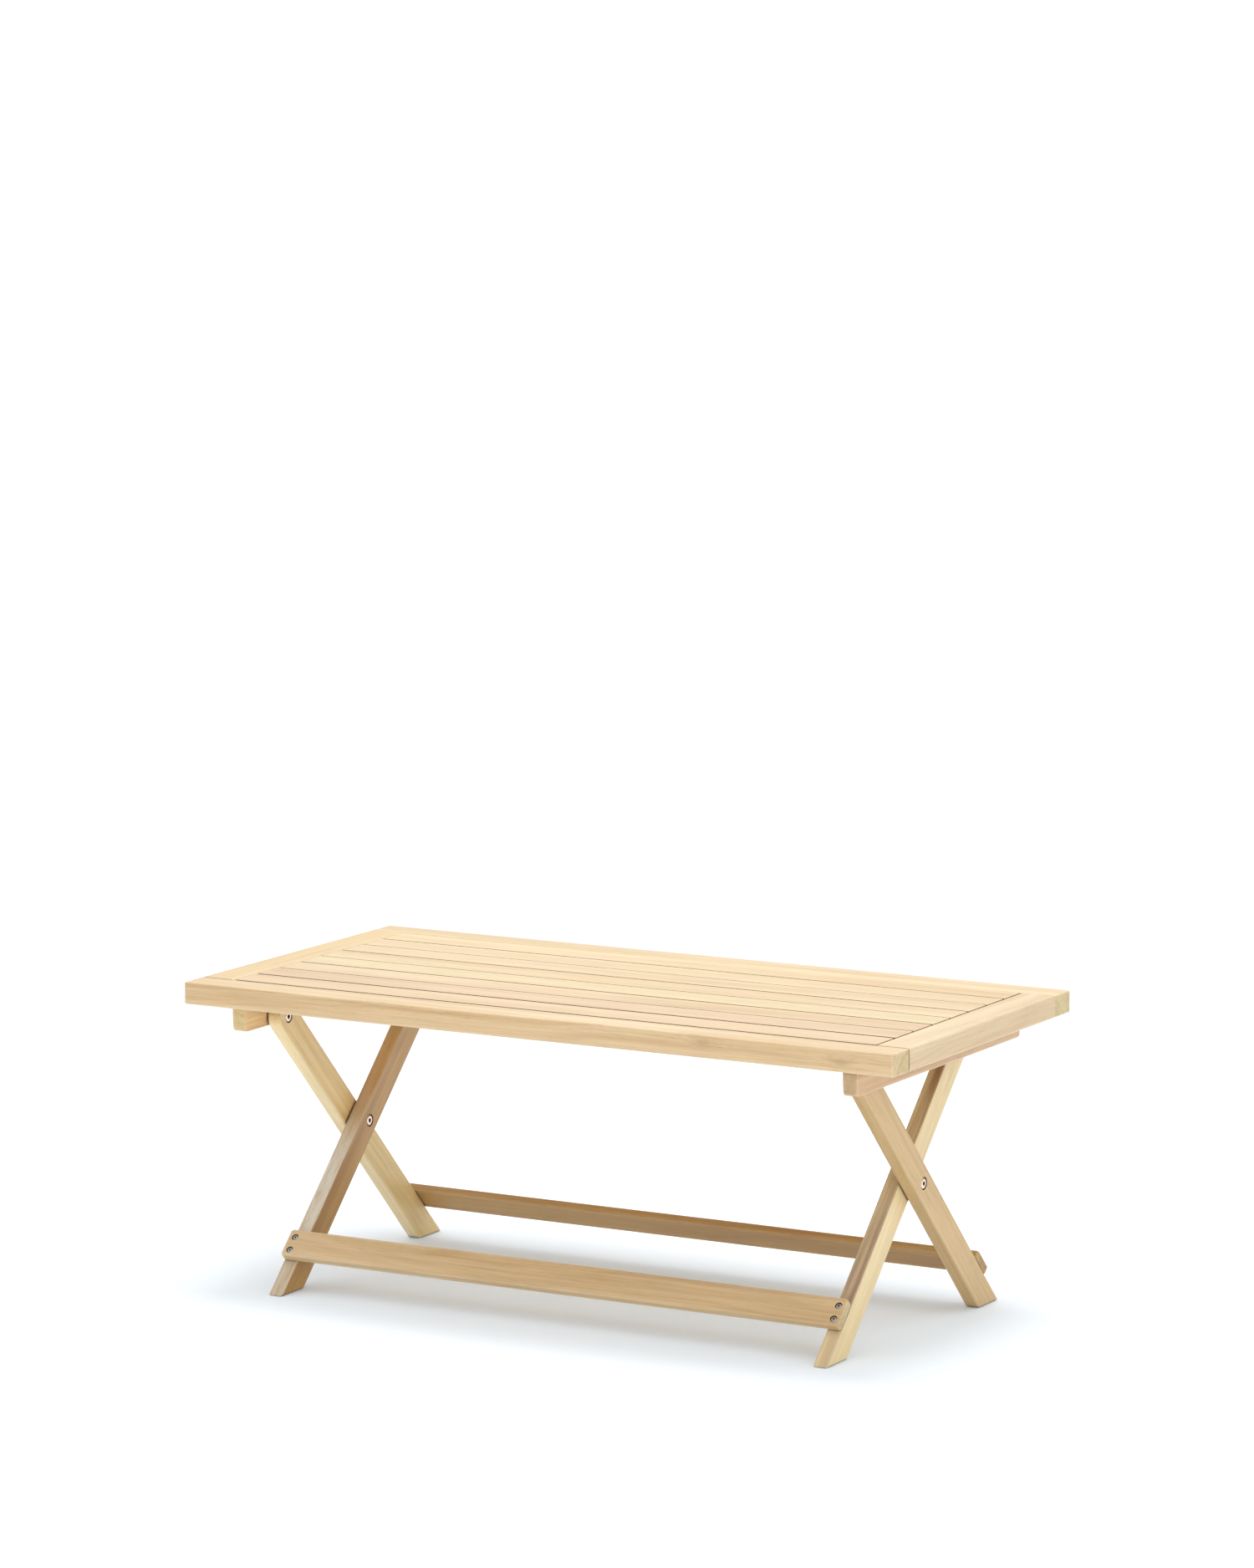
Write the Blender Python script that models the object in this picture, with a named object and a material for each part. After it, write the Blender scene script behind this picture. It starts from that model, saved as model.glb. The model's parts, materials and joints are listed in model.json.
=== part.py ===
"""Folding picnic table: slatted wooden top on two crossed leg frames.

Metres, +Z up. The origin is on the floor under the centre of the top. X runs
along the length, Y along the depth with the front at -Y. The table is
symmetric left (-X) to right (+X).

The outer leg frame turns on two bolts in the bearers under the front of the
top and stands on the back feet. The inner leg frame turns on two bolts where
the legs cross, stands on the front feet, and its crossbar lies under the back
of the top, in the grooves of two catch blocks.
"""

import math

import bmesh
import bpy
from mathutils import Matrix, Vector

# ---------------------------------------------------------------- dimensions
LENGTH, DEPTH, HEIGHT = 1.000, 0.500, 0.400
GAP = 0.0003  # between pieces that touch
OVERRUN = 0.001  # how far a drilled cutter passes a surface
POCKET_OVERRUN = 0.002  # the same for a box cutter
SMALL_EDGE = 0.0015  # chamfer on the pieces under the top
SIDES = ((-1, "left"), (1, "right"))
ENDS = ((-1, "front"), (1, "back"))

# rails round the top
RAIL_T = 0.0285
LONG_RAIL_W = 0.044
END_RAIL_W = 0.045
RAIL_EDGE = 0.0022
RAIL_BOTTOM = HEIGHT - RAIL_T
RAIL_IN_Y = DEPTH / 2 - LONG_RAIL_W  # inner faces
RAIL_IN_X = LENGTH / 2 - END_RAIL_W
END_RAIL_X = RAIL_IN_X + END_RAIL_W / 2
END_RAIL_HALF = RAIL_IN_Y - GAP
TENON_W, TENON_T, TENON_L = 0.025, 0.011, 0.020
TENON_ROOT = 0.004  # overlap with the rail it grows from
TENON_Z = 0.3805

# slats
SLAT_T = 0.016
SLAT_EDGE = 0.0014
SLAT_END_GAP = 0.0022
SLAT_BOTTOM = HEIGHT - SLAT_T
SLAT_HALF = RAIL_IN_X - SLAT_END_GAP
# front to back: before the first slat, between slats, after the last
SLAT_GAPS = (0.0040, 0.0051, 0.0030, 0.0041, 0.0028, 0.0039, 0.0026, 0.0035, 0.0026)
SLAT_COUNT = len(SLAT_GAPS) - 1
SLAT_W = (2 * RAIL_IN_Y - sum(SLAT_GAPS)) / SLAT_COUNT
TONGUE_T, TONGUE_L = 0.006, 0.009
TONGUE_Z = (SLAT_BOTTOM + HEIGHT) / 2

# legs: all lean 45 degrees, the outer ones forward and the inner ones back
RISE = math.sqrt(0.5)  # sine and cosine of the lean
LEG_W, LEG_T = 0.039, 0.020
LEG_EDGE = 0.0022
PIVOT_GAP = 0.002  # room for a washer
INNER_X = 0.3785  # inner face of an inner leg
OUTER_X = INNER_X + LEG_T + PIVOT_GAP  # inner face of an outer leg
FOOT_Y = 0.190
LEG_TOP_Z = 0.350
LEG_TOP_Y = LEG_TOP_Z - FOOT_Y
# (y, z) of the axes along X
CROSS = (0.0, FOOT_Y)  # bolts where the legs cross
TOP_PIVOT = (-LEG_TOP_Y, LEG_TOP_Z)  # bolts in the bearers
BAR_AXIS = (LEG_TOP_Y, LEG_TOP_Z)
PIVOT_AXES = {"outer_frame_pivot": TOP_PIVOT, "inner_frame_pivot": CROSS}

# crossbar
BAR_R, BAR_CHAMFER = 0.011, 0.001
BAR_HALF = INNER_X - GAP
BAR_SCREW_L = 0.040

# stretchers: spans and screws are distances along a leg from its foot
STRETCHER_T = 0.012
STRETCHER_EDGE = 0.0020
FRONT_SPAN, BACK_SPAN = (0.0345, 0.0745), (0.0355, 0.0745)
STRETCHER_SCREWS = ((0.0440, "low"), (0.0630, "high"))
STRETCHER_SCREW_L = 0.032

# bearers: a tab at each end lies under the long rail
BEARER_X, BEARER_T = OUTER_X + LEG_T + PIVOT_GAP, 0.019
BEARER_MID_X = BEARER_X + BEARER_T / 2
BEARER_HALF_Y, BEARER_BOTTOM = 0.228, 0.3385
BEARER_CORNER = 0.006
BEARER_SCREW_Y, BEARER_SCREW_L = 0.2165, 0.050
BEARER_HOLE, BEARER_RAIL_HOLE = 0.040, 0.019  # depths in bearer and rail
FIT_GAP = 0.001  # bearers and battens to the long rails

# battens and catch blocks
BATTEN_X, BATTEN_W = 0.165, 0.040
BATTEN_HALF = RAIL_IN_Y - FIT_GAP
BATTEN_SLATS = (2, 5)  # indices of the slats screwed to the battens
BATTEN_SCREW_L = 0.0215
BATTEN_HOLE, BATTEN_SLAT_HOLE = 0.016, 0.010  # depths in batten and slat
CATCH_W, CATCH_L, CATCH_T = 0.030, 0.072, 0.0087
CATCH_TOP = RAIL_BOTTOM - GAP
CATCH_GROOVE_R, CATCH_GROOVE_Z = 0.0125, 0.356
CATCH_CUTTER_HALF = 0.030
CATCH_SCREW_Y, CATCH_SCREW_L = 0.026, 0.0180  # y from the block's middle
CATCH_HOLE, CATCH_BATTEN_HOLE = 0.012, 0.0102  # depths in block and batten

# bolts, sleeve nuts, washers and inserts
BOLT_SEGMENTS = 24
BOLT_HEAD_R, BOLT_HEAD_H, BOLT_HEAD_EDGE = 0.0070, 0.0020, 0.0007
BOLT_R, BOLT_TIP = 0.0030, 0.0008
TOP_BOLT_L, CROSS_BOLT_L = 0.0348, 0.0308
HEX_R, HEX_DEPTH = 0.0029, 0.0016
SEAT_R, SEAT_DEPTH = 0.0078, 0.0026
SLEEVE_R, SLEEVE_BORE = 0.0040, 0.0033
SLEEVE_L, SLEEVE_BORE_START = 0.0320, 0.0090
WASHER_R, WASHER_T, WASHER_PLAY = 0.0090, 0.0014, 0.0004
INSERT_R, INSERT_L = 0.0050, 0.0125
INSERT_HOLE_EXTRA = 0.0015

# wood screws
SCREW_SEGMENTS = 12
SCREW_HEAD_R, SCREW_HEAD_H, SCREW_HEAD_EDGE = 0.0038, 0.0028, 0.0006
SCREW_R, SCREW_TAPER = 0.0020, 0.004
SCREW_HEX_FLOOR_R, SCREW_HEX_R, SCREW_HEX_DEPTH = 0.0017, 0.0019, 0.0016
SCREW_SEAT_R, SCREW_SEAT_DEPTH, SCREW_SEAT_SEGMENTS = 0.0044, 0.0040, 16
SCREW_HOLE_R = 0.0023
LEG_SCREW_HOLE = 0.022  # depth in the legs and the crossbar's ends

for old in list(bpy.data.objects):
    bpy.data.objects.remove(old, do_unlink=True)


# ----------------------------------------------------------------- materials
def material(name, colour, roughness, metallic=0.0):
    made = bpy.data.materials.new(name)
    made.use_nodes = True
    shader = made.node_tree.nodes["Principled BSDF"]
    shader.inputs["Base Color"].default_value = (*colour, 1.0)
    shader.inputs["Roughness"].default_value = roughness
    shader.inputs["Metallic"].default_value = metallic
    return made


WOOD_TOP = material("wood_top", colour=(0.72, 0.55, 0.40), roughness=0.55)
WOOD_LEG = material("wood_leg", colour=(0.60, 0.42, 0.27), roughness=0.58)
WOOD_RAIL = material("wood_rail", colour=(0.66, 0.48, 0.33), roughness=0.55)
WOOD_INSIDE = material("wood_inside", colour=(0.62, 0.46, 0.32), roughness=0.60)
STEEL = material("steel_screw", colour=(0.62, 0.61, 0.60), roughness=0.35, metallic=1.0)
COPPERED = material("bolt_steel", colour=(0.74, 0.66, 0.60), roughness=0.32, metallic=1.0)


# ------------------------------------------------------------------- objects
def link(name, data):
    made = bpy.data.objects.new(name, data)
    bpy.context.scene.collection.objects.link(made)
    return made


def hang(made, pivot):
    """Parent an object placed in world coordinates to a pivot's empty."""
    made.parent = pivot
    made.location -= Vector((0, *PIVOT_AXES[pivot.name]))


def mesh_object(name, bm, origin=(0, 0, 0)):
    """A mesh object, modelled in place, with its origin at a world point."""
    bmesh.ops.recalc_face_normals(bm, faces=bm.faces)
    bm.transform(Matrix.Translation(-Vector(origin)))
    mesh = bpy.data.meshes.new(name)
    bm.to_mesh(mesh)
    bm.free()
    made = link(name, mesh)
    made.location = origin
    return made


def add(name, bm, mat, origin, pivot=None):
    """A piece of the table, hung on a pivot if one is given."""
    made = mesh_object(name, bm, origin)
    made.data.materials.append(mat)
    if pivot is not None:
        hang(made, pivot)
    return made


def add_turned(name, bm, mat, point, direction, pivot=None):
    """A smooth piece modelled about Z, laid along the direction from the point."""
    bm.transform(frame_at(point, direction))
    made = add(name, bm, mat, point, pivot)
    made.data.shade_smooth()
    made.data.set_sharp_from_angle(angle=math.radians(35))
    return made


def pivot_empty(name, parent=None):
    made = link(name, None)
    made.empty_display_size = 0.03
    made.location = (0, *PIVOT_AXES[name])
    if parent is not None:
        hang(made, parent)
    return made


# -------------------------------------------------------------------- shapes
def mirrored(side, near, far):
    """The two distances on the given side of the origin, in rising order."""
    return sorted((side * near, side * far))


def box_bm(low, high):
    bm = bmesh.new()
    bmesh.ops.create_cube(bm, size=1.0)
    centre = (Vector(low) + Vector(high)) / 2
    size = Vector(high) - Vector(low)
    bm.transform(Matrix.Translation(centre) @ Matrix.Diagonal((*size, 1.0)))
    return bm


def prism_bm(outline, axis, low, high):
    """An outline drawn across an axis, extruded along it from low to high."""
    bm = bmesh.new()
    start = []
    for pair in outline:
        point = list(pair)
        point.insert(axis, low)
        start.append(bm.verts.new(point))
    grown = bmesh.ops.extrude_face_region(bm, geom=[bm.faces.new(start)])
    moved = [item for item in grown["geom"] if isinstance(item, bmesh.types.BMVert)]
    shift = Vector((0, 0, 0))
    shift[axis] = high - low
    bmesh.ops.translate(bm, verts=moved, vec=shift)
    return bm


def bridge(bm, one, two):
    """Quads between two rings of vertices."""
    count = len(one)
    for i in range(count):
        j = (i + 1) % count
        bm.faces.new((one[i], one[j], two[j], two[i]))


def ring_verts(bm, z, radius, sides, segments):
    """A ring about Z: sides 0 is round, 6 is a hexagon."""
    ring = []
    for i in range(segments):
        angle = 2 * math.pi * i / segments
        reach = radius
        if sides:
            half = math.pi / sides
            reach = radius * math.cos(half) / math.cos((angle % (2 * half)) - half)
        ring.append(bm.verts.new((reach * math.cos(angle), reach * math.sin(angle), z)))
    return ring


def turned_bm(rings, segments):
    """A turned solid about Z from rings of (z, radius, sides). The first and
    last rings are closed with a flat face."""
    bm = bmesh.new()
    loops = [ring_verts(bm, *ring, segments) for ring in rings]
    bm.faces.new(loops[0])
    bm.faces.new(loops[-1])
    for one, two in zip(loops, loops[1:]):
        bridge(bm, one, two)
    return bm


def tube_bm(z0, z1, r_in, r_out):
    """A ring or tube about Z."""
    bm = bmesh.new()
    corners = ((z0, r_in), (z0, r_out), (z1, r_out), (z1, r_in))
    loops = [ring_verts(bm, z, radius, 0, BOLT_SEGMENTS) for z, radius in corners]
    for one, two in zip(loops, loops[1:] + loops[:1]):
        bridge(bm, one, two)
    return bm


def frame_at(point, direction):
    """A matrix whose Z runs along the direction, placed at the point."""
    turn = Vector((0, 0, 1)).rotation_difference(Vector(direction))
    return Matrix.Translation(Vector(point)) @ turn.to_matrix().to_4x4()


def round_edges(bm, width, segments=2, test=None):
    """Bevel every edge, or those that pass the test."""
    bmesh.ops.bevel(
        bm,
        geom=[edge for edge in bm.edges if test is None or test(edge)],
        offset=width,
        offset_type="OFFSET",
        segments=segments,
        profile=0.5,
        affect="EDGES",
        clamp_overlap=True,
    )


def runs_along_y(edge):
    span = edge.verts[1].co - edge.verts[0].co
    return abs(span.y) > 0.999 * span.length


def lies_across_x(edge):
    return abs(edge.verts[0].co.x - edge.verts[1].co.x) < 1e-6


def on_slat_face(edge):
    """True for an edge in the top or the bottom face of a slat."""
    return any(
        all(abs(vert.co.z - level) < 1e-6 for vert in edge.verts)
        for level in (HEIGHT, SLAT_BOTTOM)
    )


def below_bearer_tab(edge):
    low = all(vert.co.z < RAIL_BOTTOM - 0.001 for vert in edge.verts)
    return low and lies_across_x(edge)


# --------------------------------------------------------- cutters and holes
def numbered(word):
    """A helper's name, numbered by the objects made before it."""
    return f"{word}_{len(bpy.data.objects)}"


def boolean(target, name, bm, operation="DIFFERENCE"):
    """Cut or join a hidden helper on the target."""
    tool = mesh_object(name, bm)
    tool.hide_render = True
    tool.display_type = "WIRE"
    modifier = target.modifiers.new(tool.name, "BOOLEAN")
    modifier.operation = operation
    modifier.solver = "EXACT"
    modifier.object = tool


def pocket(target, low, high):
    boolean(target, numbered("pocket"), box_bm(low, high))


def drill(target, point, direction, radius, depth, segments=BOLT_SEGMENTS):
    """A round hole whose cutter starts just in front of the point."""
    bm = turned_bm([(-OVERRUN, radius, 0), (depth, radius, 0)], segments)
    bm.transform(frame_at(point, direction))
    boolean(target, numbered("hole"), bm)


def screw_hole(target, point, direction, depth):
    drill(target, point, direction, SCREW_HOLE_R, depth, SCREW_SEGMENTS)


def screw_seat(target, point, direction, depth):
    """The wide seat for a screw's head, and its hole as deep as given."""
    drill(target, point, direction, SCREW_SEAT_R, SCREW_SEAT_DEPTH, SCREW_SEAT_SEGMENTS)
    screw_hole(target, point, direction, depth)


def bolt_hole(target, point, direction, radius):
    """The seat for a bolt's head and a hole through a leg."""
    drill(target, point, direction, SEAT_R, SEAT_DEPTH)
    drill(target, point, direction, radius + GAP, LEG_T + OVERRUN)


def screw(name, point, direction, length, pivot=None):
    """A wood screw whose head sits in its seat. The point is on the outer
    surface and the direction goes into the wood."""
    top = SCREW_SEAT_DEPTH - SCREW_HEAD_H - GAP
    rings = [
        (top + SCREW_HEX_DEPTH, SCREW_HEX_FLOOR_R, 6),
        (top, SCREW_HEX_R, 6),
        (top, SCREW_HEAD_R * 0.86, 0),
        (top + SCREW_HEAD_EDGE, SCREW_HEAD_R, 0),
        (top + SCREW_HEAD_H, SCREW_HEAD_R * 0.96, 0),
        (top + SCREW_HEAD_H, SCREW_R, 0),
        (length - SCREW_TAPER, SCREW_R, 0),
        (length, SCREW_R * 0.35, 0),
    ]
    add_turned(name, turned_bm(rings, SCREW_SEGMENTS), STEEL, point, direction, pivot)


# ----------------------------------------------------------------- top frame
def long_rail(side, place):
    """The front or back rail, with mortises for the end rails' tenons."""
    y0, y1 = mirrored(side, RAIL_IN_Y, DEPTH / 2)
    bm = box_bm((-LENGTH / 2, y0, RAIL_BOTTOM), (LENGTH / 2, y1, HEIGHT))
    round_edges(bm, RAIL_EDGE)
    origin = (0, side * (DEPTH - LONG_RAIL_W) / 2, RAIL_BOTTOM)
    rail = add(f"{place}_rail", bm, WOOD_RAIL, origin)
    y0, y1 = mirrored(side, RAIL_IN_Y - POCKET_OVERRUN, RAIL_IN_Y + TENON_L + 2 * GAP)
    half_w, half_t = TENON_W / 2 + GAP, TENON_T / 2 + GAP
    for end, _ in SIDES:
        x = end * END_RAIL_X
        pocket(rail, (x - half_w, y0, TENON_Z - half_t), (x + half_w, y1, TENON_Z + half_t))
        # the bearer's screw goes up into the rail
        point = (end * BEARER_MID_X, side * BEARER_SCREW_Y, RAIL_BOTTOM)
        screw_hole(rail, point, (0, 0, 1), BEARER_RAIL_HOLE)


def end_rail(side, word):
    """The left or right rail, with its tenons and a groove for the tongues."""
    x0, x1 = mirrored(side, RAIL_IN_X, LENGTH / 2)
    bm = box_bm((x0, -END_RAIL_HALF, RAIL_BOTTOM), (x1, END_RAIL_HALF, HEIGHT))
    round_edges(bm, RAIL_EDGE, test=runs_along_y)
    x = side * END_RAIL_X
    rail = add(f"{word}_end_rail", bm, WOOD_RAIL, (x, 0, RAIL_BOTTOM))
    for end, _ in ENDS:
        y0, y1 = mirrored(end, END_RAIL_HALF - TENON_ROOT, END_RAIL_HALF + TENON_L)
        tenon = box_bm(
            (x - TENON_W / 2, y0, TENON_Z - TENON_T / 2),
            (x + TENON_W / 2, y1, TENON_Z + TENON_T / 2),
        )
        boolean(rail, numbered("tenon"), tenon, "UNION")
    groove_end = RAIL_IN_X + TONGUE_L - SLAT_END_GAP + 3 * GAP
    x0, x1 = mirrored(side, RAIL_IN_X - POCKET_OVERRUN, groove_end)
    half_y, half_z = END_RAIL_HALF + POCKET_OVERRUN, TONGUE_T / 2 + GAP
    pocket(rail, (x0, -half_y, TONGUE_Z - half_z), (x1, half_y, TONGUE_Z + half_z))


# --------------------------------------------------------------------- slats
def slat_outline():
    """(x, z) of a slat's front view, with a tongue at each end."""
    low, high = TONGUE_Z - TONGUE_T / 2, TONGUE_Z + TONGUE_T / 2
    tip = SLAT_HALF + TONGUE_L
    right = [
        (SLAT_HALF, SLAT_BOTTOM),
        (SLAT_HALF, low),
        (tip, low),
        (tip, high),
        (SLAT_HALF, high),
        (SLAT_HALF, HEIGHT),
    ]
    left = [(-x, z) for x, z in right]
    return left[:1] + right + left[:0:-1]


def slats():
    """Build the slats from front to back and return the y of their middles."""
    middles = []
    y0 = -RAIL_IN_Y
    for i in range(SLAT_COUNT):
        y0 += SLAT_GAPS[i]
        y1 = y0 + SLAT_W
        y = (y0 + y1) / 2
        bm = prism_bm(slat_outline(), 1, y0, y1)
        round_edges(bm, SLAT_EDGE, test=on_slat_face)
        slat = add(f"slat_{i + 1}", bm, WOOD_TOP, (0, y, SLAT_BOTTOM))
        if i in BATTEN_SLATS:
            for side, _ in SIDES:
                point = (side * BATTEN_X, y, SLAT_BOTTOM)
                screw_hole(slat, point, (0, 0, 1), BATTEN_SLAT_HOLE)
        middles.append(y)
        y0 = y1
    return middles


# ------------------------------------------------------- pieces under the top
def bearer_outline():
    """(y, z) of a bearer's side view: down the front end, up the back end."""
    tab_y = RAIL_IN_Y - FIT_GAP
    end = [
        (tab_y, SLAT_BOTTOM - GAP),
        (tab_y, RAIL_BOTTOM - GAP),
        (BEARER_HALF_Y, RAIL_BOTTOM - GAP),
    ]
    for k in range(5):
        angle = math.radians(90 * k / 4)
        y = BEARER_HALF_Y - BEARER_CORNER + BEARER_CORNER * math.cos(angle)
        z = BEARER_BOTTOM + BEARER_CORNER - BEARER_CORNER * math.sin(angle)
        end.append((y, z))
    return [(-y, z) for y, z in end] + end[::-1]


def bearer(side, word):
    bm = prism_bm(bearer_outline(), 0, *mirrored(side, BEARER_X, BEARER_X + BEARER_T))
    round_edges(bm, SMALL_EDGE, 1, below_bearer_tab)
    x = side * BEARER_MID_X
    made = add(f"{word}_bearer", bm, WOOD_INSIDE, (x, 0, BEARER_BOTTOM))
    # blind hole for the insert
    point = (side * BEARER_X, *TOP_PIVOT)
    drill(made, point, (side, 0, 0), INSERT_R + GAP, INSERT_L + INSERT_HOLE_EXTRA)
    for end, place in ENDS:
        point = (x, end * BEARER_SCREW_Y, BEARER_BOTTOM)
        screw_seat(made, point, (0, 0, 1), BEARER_HOLE)
        screw(f"bearer_screw_{word}_{place}", point, (0, 0, 1), BEARER_SCREW_L)


def batten(side, word, slat_middles):
    x = side * BATTEN_X
    bm = box_bm(
        (x - BATTEN_W / 2, -BATTEN_HALF, RAIL_BOTTOM),
        (x + BATTEN_W / 2, BATTEN_HALF, SLAT_BOTTOM - GAP),
    )
    round_edges(bm, SMALL_EDGE, 1)
    made = add(f"{word}_batten", bm, WOOD_INSIDE, (x, 0, RAIL_BOTTOM))
    for i, (_, place) in zip(BATTEN_SLATS, ENDS):
        point = (x, slat_middles[i], RAIL_BOTTOM)
        screw_seat(made, point, (0, 0, 1), BATTEN_HOLE)
        screw(f"batten_screw_{word}_{place}", point, (0, 0, 1), BATTEN_SCREW_L)
    return made


def catch_block(side, word, batten_above):
    """The grooved block that the crossbar lies in."""
    x, y, z = side * BATTEN_X, BAR_AXIS[0], CATCH_TOP - CATCH_T
    bm = box_bm(
        (x - CATCH_W / 2, y - CATCH_L / 2, z),
        (x + CATCH_W / 2, y + CATCH_L / 2, CATCH_TOP),
    )
    round_edges(bm, SMALL_EDGE, 1)
    block = add(f"{word}_catch_block", bm, WOOD_INSIDE, (x, y, z))
    rings = [(end * CATCH_CUTTER_HALF, CATCH_GROOVE_R, 0) for end in (-1, 1)]
    groove = turned_bm(rings, 32)
    groove.transform(frame_at((x, y, CATCH_GROOVE_Z), (1, 0, 0)))
    boolean(block, f"groove_{word}", groove)
    for end, place in ENDS:
        screw_y = y + end * CATCH_SCREW_Y
        point = (x, screw_y, z)
        screw_seat(block, point, (0, 0, 1), CATCH_HOLE)
        screw_hole(batten_above, (x, screw_y, RAIL_BOTTOM), (0, 0, 1), CATCH_BATTEN_HOLE)
        screw(f"catch_screw_{word}_{place}", point, (0, 0, 1), CATCH_SCREW_L)


# ---------------------------------------------------------------------- legs
# lean is +1 for a leg that rises from a front foot towards the back, and -1
# for one that rises from a back foot towards the front
def leg_outline(lean):
    """(y, z) of a leg's side view, cut level at the floor and rounded about
    its top point."""
    half = LEG_W / 2
    foot_y, foot_half = -lean * FOOT_Y, half / RISE
    points = [(foot_y - foot_half, 0.0), (foot_y + foot_half, 0.0)]
    for k in range(13):
        angle = -lean * math.pi / 4 + math.pi * k / 12
        y = lean * LEG_TOP_Y + half * math.cos(angle)
        points.append((y, LEG_TOP_Z + half * math.sin(angle)))
    return points


def leg(name, side, lean, inner_face, pivot):
    bm = prism_bm(leg_outline(lean), 0, *mirrored(side, inner_face, inner_face + LEG_T))
    round_edges(bm, LEG_EDGE, test=lies_across_x)
    return add(name, bm, WOOD_LEG, (0, *PIVOT_AXES[pivot.name]), pivot)


def on_leg(lean, distance, offset):
    """The (y, z) of a point at a distance along a leg from its foot and offset
    from its centre line, positive to the leg's upper side."""
    return (lean * (RISE * (distance - offset) - FOOT_Y), RISE * (distance + offset))


def into_leg(lean):
    """The direction square into a leg's upper side."""
    return (0, lean * RISE, -RISE)


def leg_pair(side, word):
    """The outer and inner leg of one side, with their holes."""
    outward, inward = (side, 0, 0), (-side, 0, 0)
    outer = leg(f"outer_leg_{word}", side, -1, OUTER_X, OUTER_PIVOT)
    bolt_hole(outer, (side * OUTER_X, *TOP_PIVOT), outward, BOLT_R)
    bolt_hole(outer, (side * (OUTER_X + LEG_T), *CROSS), inward, SLEEVE_R)

    inner = leg(f"inner_leg_{word}", side, 1, INNER_X, INNER_PIVOT)
    bolt_hole(inner, (side * INNER_X, *CROSS), outward, SLEEVE_R)
    screw_seat(inner, (side * (INNER_X + LEG_T), *BAR_AXIS), inward, LEG_T + OVERRUN)

    for distance, _ in STRETCHER_SCREWS:
        for target, lean, face in ((outer, -1, OUTER_X), (inner, 1, INNER_X)):
            point = (side * (face + LEG_T / 2), *on_leg(lean, distance, LEG_W / 2))
            screw_hole(target, point, into_leg(lean), LEG_SCREW_HOLE)


def stretcher(place, lean, span, inner_face, pivot):
    """A board across the upper sides of a frame's two legs, near their feet."""
    start, stop = span
    under, over = LEG_W / 2 + GAP, LEG_W / 2 + STRETCHER_T
    corners = [
        on_leg(lean, start, under),
        on_leg(lean, stop, under),
        on_leg(lean, stop, over),
        on_leg(lean, start, over),
    ]
    half = inner_face + LEG_T
    bm = prism_bm(corners, 0, -half, half)
    round_edges(bm, STRETCHER_EDGE)
    middle = on_leg(lean, (start + stop) / 2, (LEG_W + STRETCHER_T) / 2)
    made = add(f"{place}_stretcher", bm, WOOD_LEG, (0, *middle), pivot)
    into = into_leg(lean)
    for side, word in SIDES:
        for distance, level in STRETCHER_SCREWS:
            point = (side * (inner_face + LEG_T / 2), *on_leg(lean, distance, over))
            screw_seat(made, point, into, STRETCHER_T + 0.002)
            name = f"{place}_stretcher_screw_{word}_{level}"
            screw(name, point, into, STRETCHER_SCREW_L, pivot)


def crossbar():
    """The round bar between the tops of the inner legs, and its end screws."""
    rings = [
        (-BAR_HALF, BAR_R - BAR_CHAMFER, 0),
        (-BAR_HALF + BAR_CHAMFER, BAR_R, 0),
        (BAR_HALF - BAR_CHAMFER, BAR_R, 0),
        (BAR_HALF, BAR_R - BAR_CHAMFER, 0),
    ]
    bm = turned_bm(rings, 24)
    bar = add_turned("crossbar", bm, WOOD_INSIDE, (0, *BAR_AXIS), (1, 0, 0), INNER_PIVOT)
    for side, word in SIDES:
        inward = (-side, 0, 0)
        screw_hole(bar, (side * BAR_HALF, *BAR_AXIS), inward, LEG_SCREW_HOLE)
        point = (side * (INNER_X + LEG_T), *BAR_AXIS)
        screw(f"crossbar_screw_{word}", point, inward, BAR_SCREW_L, INNER_PIVOT)


# ------------------------------------------------------------ pivot hardware
def head_rings(shank_r):
    """A round head with a hexagonal socket, down to the start of its shank."""
    return [
        (GAP + HEX_DEPTH, HEX_R, 6),
        (GAP, HEX_R, 6),
        (GAP, BOLT_HEAD_R - BOLT_HEAD_EDGE, 0),
        (GAP + BOLT_HEAD_EDGE, BOLT_HEAD_R, 0),
        (GAP + BOLT_HEAD_H, BOLT_HEAD_R, 0),
        (GAP + BOLT_HEAD_H, shank_r, 0),
    ]


def bolt(name, point, direction, length, pivot=None):
    rings = head_rings(BOLT_R) + [
        (length - BOLT_TIP, BOLT_R, 0),
        (length, BOLT_R - BOLT_TIP, 0),
    ]
    add_turned(name, turned_bm(rings, BOLT_SEGMENTS), COPPERED, point, direction, pivot)


def sleeve_nut(name, point, direction, pivot):
    """Head, barrel and bore in one turning, open at the barrel's far end."""
    rings = head_rings(SLEEVE_R) + [
        (SLEEVE_L, SLEEVE_R, 0),
        (SLEEVE_L, SLEEVE_BORE, 0),
        (SLEEVE_BORE_START, SLEEVE_BORE, 0),
    ]
    add_turned(name, turned_bm(rings, BOLT_SEGMENTS), COPPERED, point, direction, pivot)


def insert(name, point, direction):
    bm = tube_bm(GAP, INSERT_L, BOLT_R + GAP, INSERT_R)
    add_turned(name, bm, STEEL, point, direction)


def washer(name, point, direction, shank_r, pivot=None):
    bm = tube_bm(-WASHER_T / 2, WASHER_T / 2, shank_r + WASHER_PLAY, WASHER_R)
    add_turned(name, bm, STEEL, point, direction, pivot)


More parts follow.
